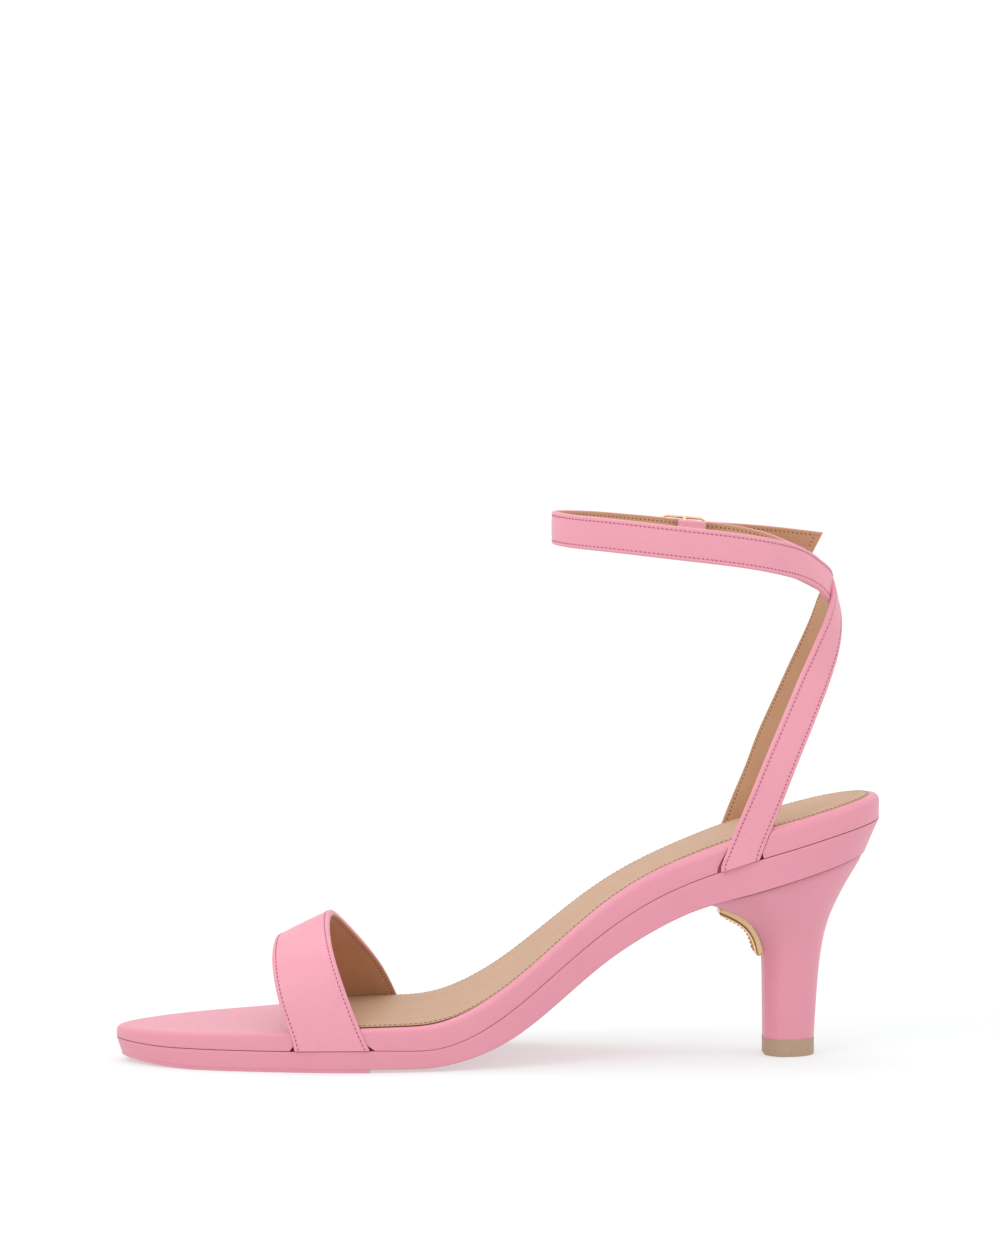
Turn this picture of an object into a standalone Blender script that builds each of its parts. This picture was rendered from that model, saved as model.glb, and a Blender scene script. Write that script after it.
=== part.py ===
"""Ankle strap sandal, right shoe.

A wrapped two-layer sole stands on a flared heel. One wide band crosses the toes. Two narrow bands
rise from the heel seat, cross and join behind the heel, and close round the ankle with a buckle.

X runs along the shoe with the toe at -X, +Y is the outer side of the foot and +Z is up. Every size
below is in millimetres, and the meshes are made in metres.
"""
import math

import bmesh
import bpy
import numpy as np

MM = 0.001
GAP = 0.3              # air between two pieces that meet

STATIONS = 46          # cross lines along the sole
EDGE_STEPS = 4         # facets round the footbed's upper edge
LOWER_STEPS = 2        # facets round the platform's lower edge
SEAM_EDGE = 0.5        # small round at the seam between footbed and platform
PLATFORM_EDGE = 0.8    # radius of the platform's lower edge
PAD_THICK = 0.7        # forefoot pad that stands on the floor
PAD_INSET = 0.3
PAD_BEVEL = 0.25
PAD_END = -39.5
INSOLE_THICK = 1.2
INSOLE_INSET = 3.0
INSOLE_START = -60.0
INSOLE_SLANT = 13.0    # how much further back its front edge lies on the outer side
INSOLE_BEVEL = 0.3
CUT_CLEAR = 6.0        # how far a cutter stands above the face it opens

BAND_WIDTH = 10.0      # ankle bands
BAND_THICK = 1.6
BAND_STEP = 2.4        # length of a facet along the bands
BAND_CLEAR = 2.5       # the lowest whole section stands this far above the seam
SEAM_SLOPE = 0.28      # rise of the seam where the bands leave the sole
FOLD_THICK = 1.2       # skived end that is folded round the buckle bar
FOLD_STEPS = 8         # facets round the buckle bar
CROSSING = (99.8, 1.0, 137.8)
CROSS_GLUE = 0.7       # the two bands are bonded where they cross
CROSS_REACH = 11.0     # how far the bond reaches from the crossing
CROSS_FADE = 4.0
TAIL_SLANT = 3.8       # how far the tail's upper corner leads its lower one
VAMP_THICK = 2.0
VAMP_STATIONS = 45     # cross lines along the wide band
VAMP_LINES = 6         # lines along it
VAMP_CROWN = 0.4       # slight bulge across the wide band
CROWN_START = 14.0     # height where the bulge starts
CROWN_RISE = 10.0
FOOT_PROUD = 0.7       # how far a strap foot stands out of the sole's side
RECESS_OUT = 3.0       # how far a recess cutter stands out of the sole's side
RECESS_DEEP = 2.0      # how far it runs on below the strap foot

BAR_CENTRE = (57.0, 24.2, 154.1)
BAR_SLOPE = -0.1       # fall of the ankle loop at the buckle
BAR_RADIUS = 0.5
BAR_WRAP = 1.4         # from the bar's centre to the middle of the folded band
BAR_TURN = 1.0         # radius where the bar turns up to the rails
RAIL_RADIUS = 0.55
RAIL_REACH = 6.8       # from the bar to the front and rear rails
RAIL_HALF = 5.8        # from the bar's middle to the side rails
RAIL_HEIGHT = 4.1      # how far the rails stand outside the bar
RAIL_TILT = 0.11
RAIL_ARCH = 1.0
RAIL_CORNER = 1.6
PRONG_RADIUS = 0.5
PRONG_EYE = 1.3        # radius of the prong's loop round the bar
PRONG_CLEAR = 0.2      # air between the prong and the front rail
LEAD_REACH = (9.0, 4.0, 1.0)   # the band's last places before the bar
FOLD_REACH = (2.0, 4.5, 7.0)   # its places after the bar

HEEL_FLOOR = 5.2       # lower end of the wrapped heel
TIP_SHARE = 0.45       # width of the flat front against the full width of a heel section
WIDEST = 0.35          # where a heel section is widest, as a share of its length
CORNER_POWER = 2.2     # how round the front corners of a section are
BACK_POWER = 2.3       # how full its back is
TRIM_LOW = 29.7        # lower end of the plaque
TRIM_START = 65.7      # upper end of the plaque along the shoe
TRIM_HALF = 5.0
TRIM_STEP = 1.2
TRIM_PLATE = 1.2
TRIM_RIM = 2.4

OUTLINE = [
    # x, y round the sole: toe tip, inner side, heel, outer side
    (-114.0, -4.0), (-107.0, -17.5), (-93.0, -27.8), (-70.0, -34.8), (-45.0, -38.8),
    (-20.0, -37.3), (5.0, -31.5), (25.0, -25.0), (45.0, -21.4), (65.0, -23.3),
    (85.0, -25.3), (101.5, -21.0), (111.0, -11.0), (114.0, 0.5), (111.2, 11.8),
    (101.5, 21.8), (85.0, 26.0), (65.0, 25.3), (45.0, 25.6), (20.0, 30.0),
    (-5.0, 35.5), (-30.0, 38.4), (-55.0, 35.0), (-78.0, 27.3), (-97.0, 18.0), (-109.5, 6.8),
]

PROFILE = [
    # x, seam height, footbed above the seam, underside, undercut of the platform's wall
    (-114.0, 7.1, 3.5, 2.10, 1.3),
    (-103.0, 6.4, 4.4, 0.75, 1.0),
    (-90.0, 6.3, 4.9, -0.10, 0.8),
    (-70.0, 6.25, 5.45, -0.50, 0.6),
    (-50.0, 6.5, 6.1, -0.60, 0.6),
    (-32.0, 6.5, 6.7, -0.40, 0.6),
    (-20.0, 6.8, 7.3, 0.35, 0.6),
    (-9.0, 10.4, 7.9, 2.80, 0.6),
    (3.0, 17.8, 8.2, 8.20, 0.7),
    (16.0, 28.2, 8.35, 17.60, 0.8),
    (30.0, 39.2, 8.6, 28.80, 0.9),
    (44.0, 48.1, 8.3, 37.70, 1.0),
    (58.0, 54.6, 8.0, 44.50, 1.1),
    (72.0, 59.5, 8.3, 48.80, 1.2),
    (88.0, 64.3, 8.1, 53.60, 1.6),
    (102.0, 68.3, 7.9, 57.80, 2.8),
    (114.0, 71.2, 7.7, 61.40, 4.2),
]

FOOTBED_EDGE = [
    # x, radius of the footbed's upper edge
    (-114.0, 0.9), (-60.0, 1.0), (-30.0, 1.7), (5.0, 2.6), (114.0, 2.6),
]
INSOLE_PROUD = [
    # x, how far the insole stands above the footbed's rim
    (-60.0, 0.9), (-20.0, 0.9), (2.0, 0.3), (44.0, 0.2), (60.0, 0.5), (114.0, 0.5),
]

HEEL = [
    # front x, front z, back x, back z, half width, from the tip up to the seat
    (79.5, 5.2, 94.6, 5.2, 9.4),
    (79.4, 14.0, 95.1, 13.5, 9.6),
    (79.3, 24.0, 95.9, 24.5, 10.2),
    (78.8, 31.6, 97.2, 34.2, 11.6),
    (76.4, 37.8, 99.6, 42.6, 14.4),
    (71.0, 42.3, 104.0, 51.6, 18.2),
    (62.2, 46.0, 108.7, 59.4, 21.6),
]

VAMP_FRONT = [
    # x, y, z of the wide band's front edge; its feet follow the sole's side
    (-66.4, -35.2, 21.0), (-68.2, -29.0, 30.8), (-67.8, -18.5, 35.8), (-66.2, -5.0, 37.0),
    (-63.2, 9.0, 34.9), (-59.8, 20.5, 29.6), (-56.2, 29.3, 20.8),
]
VAMP_REAR = [
    # x, y, z of the wide band's rear edge
    (-46.0, -37.8, 21.5), (-49.8, -32.5, 33.0), (-51.3, -19.5, 41.2), (-50.4, -5.0, 44.7),
    (-46.4, 9.0, 40.8), (-40.2, 22.0, 33.0), (-33.4, 32.8, 23.0),
]
VAMP_FEET = [
    # height above the seam, front x and rear x on the inner side, front x and rear x on the outer side
    (GAP, -61.9, -39.9, -52.0, -26.4),
    (5.7, -63.4, -42.4, -53.6, -28.4),
]

INNER_BAND = [
    # x, y, z of the ankle band from its inner foot, over the crossing, to the buckle
    (69.2, -24.5, 56.5), (73.0, -24.8, 67.0), (77.4, -23.9, 77.5), (82.4, -20.8, 89.0),
    (87.7, -16.6, 100.5), (92.7, -12.2, 111.5), (97.1, -7.9, 121.5), (99.9, -4.2, 130.0),
    (100.7, -1.2, 135.3), (100.1, 2.4, 139.3), (97.4, 6.3, 142.4), (93.5, 10.8, 145.2),
    (87.8, 16.2, 147.8), (81.4, 21.4, 150.3), (72.0, 25.0, 152.4),
]
OUTER_BAND = [
    # x, y, z of the ankle band from its outer foot, under the crossing, round the ankle, to the tail
    (70.4, 24.9, 56.5), (74.3, 25.2, 67.0), (78.3, 24.3, 77.5), (81.9, 21.2, 89.0),
    (86.4, 17.0, 100.5), (91.0, 13.0, 111.5), (94.8, 9.8, 121.0), (96.8, 7.2, 128.0),
    (98.0, 4.6, 133.4), (98.9, 1.6, 137.0), (98.8, -1.6, 139.8), (97.3, -4.9, 142.1),
    (94.9, -8.3, 144.2), (91.4, -12.2, 146.5), (87.3, -16.8, 148.4), (82.3, -21.4, 149.9),
    (76.5, -24.3, 151.2),
    (64.0, -26.3, 153.1), (52.0, -26.2, 154.5), (40.5, -24.2, 155.8), (29.0, -19.3, 156.9),
    (21.0, -12.3, 157.5), (17.3, -4.8, 157.9), (17.3, 4.8, 157.9), (21.2, 12.6, 157.6),
    (29.5, 19.2, 157.0), (39.5, 23.4, 156.0), (46.5, 25.0, 155.3), (51.5, 25.9, 154.7),
    (57.0, 27.2, 154.1), (65.0, 27.3, 153.4), (75.5, 27.2, 152.7), (87.5, 26.2, 151.6),
    (97.1, 24.2, 150.5),
]
INNER_TURN = [
    # height, and how far the band's face has turned there from the inner side to the back
    (60.0, -4.0), (69.0, 1.0), (77.5, 8.0), (89.0, 12.0), (100.5, 15.0), (111.5, 20.0), (121.5, 37.0),
    (130.0, 59.0), (135.3, 72.0), (139.3, 76.0), (142.4, 90.0), (145.2, 115.0), (147.8, 138.0),
    (150.3, 151.0), (152.4, 165.0), (153.2, 175.0), (154.0, 180.0),
]
OUTER_LEAN = [
    # height, and how far the band's upright leans along x and y there
    (121.0, 0.0, 0.0), (137.0, 0.02, 0.02), (139.8, -0.01, 0.06), (142.1, -0.08, 0.11),
    (144.3, -0.19, 0.17), (146.5, -0.15, 0.13), (149.5, 0.0, 0.0),
]

PRONG_CUTS = [
    # name, corner and size of the cut along the band, outward and across it, from the bar's middle
    ("prong_slot", (-3.2, -3.2, -0.95), (5.4, 5.3, 1.9)),
    ("prong_hole", (-4.9, 0.8, -0.8), (4.5, 3.7, 1.6)),
]
PRONG_PATH = [
    # along the band and outward, from the loop round the bar to the front rail
    (-1.4, 1.95), (-3.0, 3.2), (-4.4, 4.25),
]
TRIM_SECTION = [
    # share of the plaque's half width, height above the heel's front
    (-1.0, TRIM_RIM), (-0.8, TRIM_RIM), (-0.76, TRIM_PLATE),
    (0.76, TRIM_PLATE), (0.8, TRIM_RIM), (1.0, TRIM_RIM),
]

COLOURS = {
    # piece: red, green, blue, roughness, metallic
    "outsole": (0.80, 0.36, 0.46, 0.60, 0.0),
    "platform": (0.84, 0.36, 0.48, 0.50, 0.0),
    "footbed": (0.84, 0.36, 0.48, 0.50, 0.0),
    "insole": (0.60, 0.40, 0.25, 0.60, 0.0),
    "vamp_strap": (0.90, 0.40, 0.52, 0.50, 0.0),
    "ankle_strap": (0.90, 0.40, 0.52, 0.50, 0.0),
    "buckle_frame": (0.86, 0.62, 0.28, 0.25, 1.0),
    "buckle_prong": (0.86, 0.62, 0.28, 0.25, 1.0),
    "heel": (0.84, 0.36, 0.48, 0.50, 0.0),
    "heel_tip": (0.48, 0.34, 0.24, 0.70, 0.0),
    "heel_trim": (0.86, 0.62, 0.28, 0.25, 1.0),
}


def natural_spline(knots, values):
    """Smooth curve through the rows of a table, as a function of the first column."""
    knots = np.asarray(knots, float)
    values = np.asarray(values, float)
    steps = np.diff(knots)
    size = len(knots)
    matrix = np.zeros((size, size))
    right = np.zeros(size)
    matrix[0, 0] = 1.0
    matrix[-1, -1] = 1.0
    for row in range(1, size - 1):
        before = steps[row - 1]
        after = steps[row]
        matrix[row, row - 1:row + 2] = (before, 2.0 * (before + after), after)
        rise = (values[row + 1] - values[row]) / after
        right[row] = 6.0 * (rise - (values[row] - values[row - 1]) / before)
    bend = np.linalg.solve(matrix, right)

    def at(place):
        place = np.clip(np.asarray(place, float), knots[0], knots[-1])
        row = np.clip(np.searchsorted(knots, place) - 1, 0, size - 2)
        step = steps[row]
        left = (knots[row + 1] - place) / step
        share = 1.0 - left
        curve = (left ** 3 - left) * bend[row] + (share ** 3 - share) * bend[row + 1]
        return left * values[row] + share * values[row + 1] + curve * step ** 2 / 6.0

    return at


def chord_lengths(points):
    """Distance from the first point to each point, along straight lines."""
    runs = np.linalg.norm(np.diff(points, axis=0), axis=1)
    return np.concatenate([[0.0], np.cumsum(runs)])


def smooth_path(rows, spacing):
    """Evenly spaced points on a smooth curve through the rows."""
    rows = np.asarray(rows, float)
    knots = chord_lengths(rows)
    curves = [natural_spline(knots, rows[:, axis]) for axis in range(rows.shape[1])]
    fine = np.linspace(0.0, knots[-1], 1500)
    dense = np.stack([curve(fine) for curve in curves], axis=1)
    run = chord_lengths(dense)
    count = max(2, int(round(run[-1] / spacing)) + 1)
    even = np.linspace(0.0, run[-1], count)
    return np.stack([np.interp(even, run, dense[:, axis]) for axis in range(rows.shape[1])], axis=1)


def unit(vectors):
    """Each row scaled to length one."""
    return vectors / np.linalg.norm(vectors, axis=-1, keepdims=True)


def plan_outline():
    """Closed plan of the sole with the outward direction at each of its points."""
    loop = OUTLINE[-3:] + OUTLINE + OUTLINE[:3]
    knots = chord_lengths(np.asarray(loop, float))
    across = natural_spline(knots, [row[0] for row in loop])
    aside = natural_spline(knots, [row[1] for row in loop])
    fine = np.linspace(knots[3], knots[-3], 900, endpoint=False)
    points = np.stack([across(fine), aside(fine)], axis=1)
    tangent = unit(np.roll(points, -1, axis=0) - np.roll(points, 1, axis=0))
    outward = np.stack([tangent[:, 1], -tangent[:, 0]], axis=1)
    return points, outward


PLAN, PLAN_OUT = plan_outline()
COLUMNS = list(zip(*PROFILE))
seam = natural_spline(COLUMNS[0], COLUMNS[1])
footbed_rise = natural_spline(COLUMNS[0], COLUMNS[2])
lower_line = natural_spline(COLUMNS[0], COLUMNS[3])
undercut = natural_spline(COLUMNS[0], COLUMNS[4])


def footbed_top(x):
    """Height of the footbed's upper face."""
    return seam(x) + footbed_rise(x)


def footbed_edge(x):
    """Radius of the footbed's upper edge."""
    return np.interp(x, *zip(*FOOTBED_EDGE))


def insole_top(x):
    """Height of the insole's upper face."""
    return footbed_top(x) + np.interp(x, *zip(*INSOLE_PROUD))


def floor_line(x):
    """Underside of the shoe's walking face, flat where it stands on the floor."""
    return np.maximum(lower_line(x), 0.0)


def platform_low(x):
    """Underside of the platform, above the forefoot pad."""
    return floor_line(x) + PAD_THICK + GAP


def plan_sides(inset):
    """Inner and outer side of the sole's plan moved in by an inset, each from toe to heel."""
    amount = inset(PLAN[:, 0]) if callable(inset) else np.full(len(PLAN), float(inset))
    moved = PLAN - PLAN_OUT * amount[:, None]
    moved = np.roll(moved, -int(np.argmin(moved[:, 0])), axis=0)
    heel = int(np.argmax(moved[:, 0]))
    inner = moved[:heel + 1]
    outer = np.vstack([moved[heel:], moved[:1]])[::-1]
    return inner, outer


def side_at(x, side, inset=0.0):
    """Y of the sole's inner side (side -1) or outer side (side 1) at x."""
    inner, outer = plan_sides(inset)
    edge = inner if side < 0 else outer
    return np.interp(x, edge[:, 0], edge[:, 1])


def sole_ring(inset, height, first=None, last=None, slant=0.0):
    """One level of a sole piece: matching points on its inner and outer side."""
    inner, outer = plan_sides(inset)
    start = inner[0, 0] if first is None else first
    end = inner[-1, 0] if last is None else last
    share = (1.0 - np.cos(np.linspace(0.0, math.pi, STATIONS))) / 2.0
    x = start + (end - start) * share
    near = np.stack([x, np.interp(x, inner[:, 0], inner[:, 1]), height(x)], axis=1)
    x = x + slant * (1.0 - share) ** 4
    far = np.stack([x, np.interp(x, outer[:, 0], outer[:, 1]), height(x)], axis=1)
    return np.stack([near, far])


def new_object(name, mesh_builder):
    """Object from a bmesh that the builder fills in millimetres."""
    work = bmesh.new()
    mesh_builder(work)
    bmesh.ops.remove_doubles(work, verts=work.verts, dist=0.001)
    bmesh.ops.dissolve_degenerate(work, edges=work.edges, dist=0.001)
    bmesh.ops.recalc_face_normals(work, faces=work.faces)
    bmesh.ops.scale(work, vec=(MM, MM, MM), verts=work.verts)
    mesh = bpy.data.meshes.new(name)
    work.to_mesh(mesh)
    work.free()
    mesh.shade_smooth()
    mesh.set_sharp_from_angle(angle=math.radians(32.0))
    piece = bpy.data.objects.new(name, mesh)
    bpy.context.scene.collection.objects.link(piece)
    return piece


def lofted(name, rings):
    """Solid from rings of two matching rows of points, closed at both ends like a ladder."""
    def fill(work):
        rows = [[[work.verts.new(point) for point in side] for side in ring] for ring in rings]
        for low, high in zip(rows[:-1], rows[1:]):
            for side in (0, 1):
                for place in range(len(low[side]) - 1):
                    work.faces.new((low[side][place], low[side][place + 1],
                                    high[side][place + 1], high[side][place]))
            for end in (0, -1):
                work.faces.new((low[0][end], low[1][end], high[1][end], high[0][end]))
        for ring in (rows[0], rows[-1]):
            for place in range(len(ring[0]) - 1):
                work.faces.new((ring[0][place], ring[0][place + 1],
                                ring[1][place + 1], ring[1][place]))

    return new_object(name, fill)


def tube(name, points, radius, flat, closed=False, sides=8):
    """Round bar along points; flat is a direction that the run never follows."""
    points = np.asarray(points, float)
    if closed:
        run = np.roll(points, -1, axis=0) - np.roll(points, 1, axis=0)
    else:
        run = np.gradient(points, axis=0)
    run = unit(run)
    first = unit(np.cross(run, np.asarray(flat, float)))
    second = np.cross(run, first)

    def fill(work):
        angles = [2.0 * math.pi * (side + 0.5) / sides for side in range(sides)]
        rows = []
        for point, one, two in zip(points, first, second):
            circle = [point + radius * (math.cos(a) * one + math.sin(a) * two) for a in angles]
            rows.append([work.verts.new(spot) for spot in circle])
        pairs = list(zip(rows[:-1], rows[1:]))
        if closed:
            pairs.append((rows[-1], rows[0]))
        for here, there in pairs:
            for side in range(sides):
                after = (side + 1) % sides
                work.faces.new((here[side], here[after], there[after], there[side]))
        if not closed:
            work.faces.new(rows[0])
            work.faces.new(rows[-1])

    return new_object(name, fill)


def block(name, corner, size, axes, origin):
    """Box cutter set along three given axes."""
    def fill(work):
        made = bmesh.ops.create_cube(work, size=1.0)
        for vert in made["verts"]:
            place = np.asarray(corner) + (np.asarray(vert.co) + 0.5) * np.asarray(size)
            vert.co = origin + place @ axes

    return as_cutter(new_object(name, fill))


def as_cutter(piece):
    """Keep a piece out of the model and leave it as a guide for a Boolean."""
    piece.hide_render = True
    piece.display_type = 'WIRE'
    return piece


def combine(piece, other, operation):
    """Boolean of one piece with another."""
    step = piece.modifiers.new(operation.title() + " " + other.name, 'BOOLEAN')
    step.operation = operation
    step.object = as_cutter(other)
    step.solver = 'EXACT'


def make_sole():
    """Forefoot pad, platform, footbed and insole."""
    pad_levels = [
        # inset beyond the platform's undercut, height above the underside
        (PAD_INSET + PAD_BEVEL, 0.0), (PAD_INSET, PAD_BEVEL), (PAD_INSET, PAD_THICK),
    ]
    rings = []
    for inset, height in pad_levels:
        rings.append(sole_ring(lambda x, i=inset: undercut(x) + i,
                               lambda x, h=height: floor_line(x) + h, last=PAD_END - inset))
    lofted("outsole", rings)

    rings = []
    for step in range(LOWER_STEPS + 1):
        angle = math.pi / 2.0 * step / LOWER_STEPS
        inset = PLATFORM_EDGE * (1.0 - math.sin(angle))
        lift = PLATFORM_EDGE * (1.0 - math.cos(angle))
        rings.append(sole_ring(lambda x, i=inset: undercut(x) + i,
                               lambda x, h=lift: platform_low(x) + h))
    rings.append(sole_ring(0.0, lambda x: seam(x) - GAP / 2.0 - SEAM_EDGE))
    rings.append(sole_ring(SEAM_EDGE, lambda x: seam(x) - GAP / 2.0))
    lofted("platform", rings)

    rings = [
        sole_ring(SEAM_EDGE, lambda x: seam(x) + GAP / 2.0),
        sole_ring(0.0, lambda x: seam(x) + GAP / 2.0 + SEAM_EDGE),
    ]
    for step in range(EDGE_STEPS + 1):
        angle = math.pi / 2.0 * step / EDGE_STEPS
        inset = 1.0 - math.cos(angle)
        drop = 1.0 - math.sin(angle)
        rings.append(sole_ring(lambda x, i=inset: footbed_edge(x) * i,
                               lambda x, d=drop: footbed_top(x) - footbed_edge(x) * d))
    footbed = lofted("footbed", rings)

    insole_levels = [
        # inset, height from the insole's upper face
        (INSOLE_INSET, -INSOLE_THICK), (INSOLE_INSET, -INSOLE_BEVEL), (INSOLE_INSET + INSOLE_BEVEL, 0.0),
    ]
    bed_levels = [(INSOLE_INSET - GAP, -INSOLE_THICK - GAP), (INSOLE_INSET - GAP, CUT_CLEAR)]
    for name, levels in (("insole", insole_levels), ("insole_bed", bed_levels)):
        rings = []
        for inset, height in levels:
            rings.append(sole_ring(inset, lambda x, h=height: insole_top(x) + h,
                                   first=INSOLE_START + inset - INSOLE_INSET, slant=INSOLE_SLANT))
        piece = lofted(name, rings)
    combine(footbed, piece, 'DIFFERENCE')
    return footbed


def vamp_edges():
    """Front and rear edge of the wide band from its inner foot to its outer foot."""
    edges = []
    for edge, column in ((VAMP_FRONT, 1), (VAMP_REAR, 2)):
        rows = []
        for lift, *places in VAMP_FEET:
            x = places[column - 1]
            rows.append((x, side_at(x, -1) - FOOT_PROUD, seam(x) + lift))
        rows += edge
        for lift, *places in reversed(VAMP_FEET):
            x = places[column + 1]
            rows.append((x, side_at(x, 1) + FOOT_PROUD, seam(x) + lift))
        knots = np.arange(len(rows), dtype=float)
        share = np.linspace(0.0, knots[-1], VAMP_STATIONS)
        columns = list(zip(*rows))
        edges.append(np.stack([natural_spline(knots, values)(share) for values in columns], axis=1))
    return edges


def vamp_rings(outside, inside, widen, deepen):
    """Wide band between two offsets from its outer face; widen and deepen serve its recess."""
    front, rear = vamp_edges()
    across = np.linspace(0.0, 1.0, VAMP_LINES)
    sheet = front[:, None, :] * (1.0 - across[None, :, None]) + rear[:, None, :] * across[None, :, None]
    along = np.gradient(sheet, axis=0)
    aside = np.gradient(sheet, axis=1)
    normal = unit(np.cross(aside, along))
    if normal[len(normal) // 2, 2, 2] < 0.0:
        normal = -normal
    crown = VAMP_CROWN * (1.0 - (2.0 * across - 1.0) ** 2)
    rise = np.clip((sheet[:, :, 2] - CROWN_START) / CROWN_RISE, 0.0, 1.0)
    sheet = sheet + normal * (crown[None, :] * rise)[:, :, None]
    run = unit(aside)
    sheet[:, 0] -= run[:, 0] * widen
    sheet[:, -1] += run[:, -1] * widen
    outer = sheet + normal * outside
    inner = sheet - normal * inside
    for end, near in ((0, 1), (-1, -2)):
        for face in (outer, inner):
            step = face[end] - face[near]
            face[end] += step * (deepen / np.abs(step[:, 2:]))
    return np.stack([outer, inner], axis=1)


def band_rings(points, turn, inside, outside, half_width, deepen=0.0, upright=(0.0, 0.0, 1.0)):
    """Flat band along points, its face upright; turn picks the side that is outward."""
    run = unit(np.gradient(points, axis=0))
    normal = unit(np.cross(run, np.broadcast_to(upright, run.shape))) * turn
    rise = unit(np.cross(normal, run)) * turn
    inside = np.broadcast_to(inside, (len(points),))
    outside = np.broadcast_to(outside, (len(points),))
    rings = []
    for point, out, up, low, high in zip(points, normal, rise, inside, outside):
        rings.append([[point + out * high - up * half_width, point + out * high + up * half_width],
                      [point + out * low - up * half_width, point + out * low + up * half_width]])
    rings = np.asarray(rings)
    clear = [np.all(ring[:, :, 2] > seam(ring[:, :, 0]) + BAND_CLEAR) for ring in rings]
    first = int(np.argmax(clear))
    foot = rings[first].copy()
    for _ in range(6):
        short = foot[:, :, 2] - seam(foot[:, :, 0]) - GAP + deepen
        foot -= run[first] * (short / (run[first][2] - SEAM_SLOPE * run[first][0]))[:, :, None]
    return np.concatenate([foot[None], rings[first:]])


def buckle_axes():
    """Directions at the buckle: back along the band, outward, and up across the band."""
    back = unit(np.array([1.0, 0.0, BAR_SLOPE]))
    out = np.array([0.0, 1.0, 0.0])
    return np.stack([back, out, np.cross(back, out)])


def at_buckle(back, out, up):
    """Point given from the middle of the buckle bar."""
    return np.asarray(BAR_CENTRE) + np.array([back, out, up]) @ buckle_axes()


def ankle_routes():
    """Middle lines of the two ankle bands."""
    lead = [tuple(at_buckle(reach, BAR_WRAP, 0.0)) for reach in LEAD_REACH]
    inner = smooth_path(INNER_BAND + lead, BAND_STEP)
    fold = []
    for step in range(FOLD_STEPS + 1):
        angle = math.pi / 2.0 + math.pi * step / FOLD_STEPS
        fold.append(at_buckle(BAR_WRAP * math.cos(angle), BAR_WRAP * math.sin(angle), 0.0))
    for reach in FOLD_REACH:
        fold.append(at_buckle(reach, -BAR_WRAP, 0.0))
    inner = np.vstack([inner, fold])
    outer = smooth_path(OUTER_BAND, BAND_STEP)
    return inner, outer, len(inner) - len(fold)


def turned(points, table):
    """Direction across a band whose face turns as it rises."""
    run = unit(np.gradient(points, axis=0))
    angle = np.radians(np.interp(points[:, 2], *zip(*table)))
    outward = np.stack([np.sin(angle), -np.cos(angle), np.zeros(len(points))], axis=1)
    return unit(np.cross(outward, run))


def leant(points, table):
    """Direction across a band that leans."""
    high, along_x, along_y = zip(*table)
    lean_x = np.interp(points[:, 2], high, along_x)
    lean_y = np.interp(points[:, 2], high, along_y)
    return np.stack([lean_x, lean_y, np.ones(len(points))], axis=1)


def make_straps(footbed):
    """Wide band, ankle bands joined where they cross, and their recesses in the footbed."""
    lofted("vamp_strap", vamp_rings(0.0, VAMP_THICK, 0.0, 0.0))
    recess = lofted("vamp_recess", vamp_rings(RECESS_OUT, VAMP_THICK + GAP, GAP, RECESS_DEEP))
    combine(footbed, recess, 'DIFFERENCE')

    inner, outer, folded = ankle_routes()
    half = BAND_THICK / 2.0
    skive = 3
    thin = np.full(len(inner), half)
    thin[folded - skive:] = FOLD_THICK / 2.0
    thin[folded - 2 * skive:folded - skive] = np.linspace(half, FOLD_THICK / 2.0, skive)
    axes = buckle_axes()
    away = np.linalg.norm(inner - np.asarray(CROSSING), axis=1)
    upright = turned(inner, INNER_TURN)
    upright[folded:] = axes[2]
    glue = CROSS_GLUE * np.clip((CROSS_REACH - away) / CROSS_FADE, 0.0, 1.0)
    first_band = lofted("ankle_strap", band_rings(inner, 1.0, -thin - glue, thin,
                                                  BAND_WIDTH / 2.0, upright=upright))
    outer_upright = leant(outer, OUTER_LEAN)
    rings = band_rings(outer, -1.0, -half, half, BAND_WIDTH / 2.0, upright=outer_upright)
    run = unit(outer[-1] - outer[-2])
    rings[-1][:, 0] -= run * TAIL_SLANT / 2.0
    rings[-1][:, 1] += run * TAIL_SLANT / 2.0
    combine(first_band, lofted("second_band", rings), 'UNION')

    lower_part = len(inner) // 3
    feet = (("inner_foot_recess", inner, 1.0, upright), ("outer_foot_recess", outer, -1.0, outer_upright))
    for name, route, turn, across in feet:
        foot = band_rings(route[:lower_part], turn, -half - 2.0 * GAP, half + RECESS_OUT,
                          BAND_WIDTH / 2.0 + GAP, RECESS_DEEP, across[:lower_part])
        combine(footbed, lofted(name, foot), 'DIFFERENCE')

    for name, corner, size in PRONG_CUTS:
        cut = block(name, corner, size, axes, np.asarray(BAR_CENTRE))
        combine(first_band, cut, 'DIFFERENCE')


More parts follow.
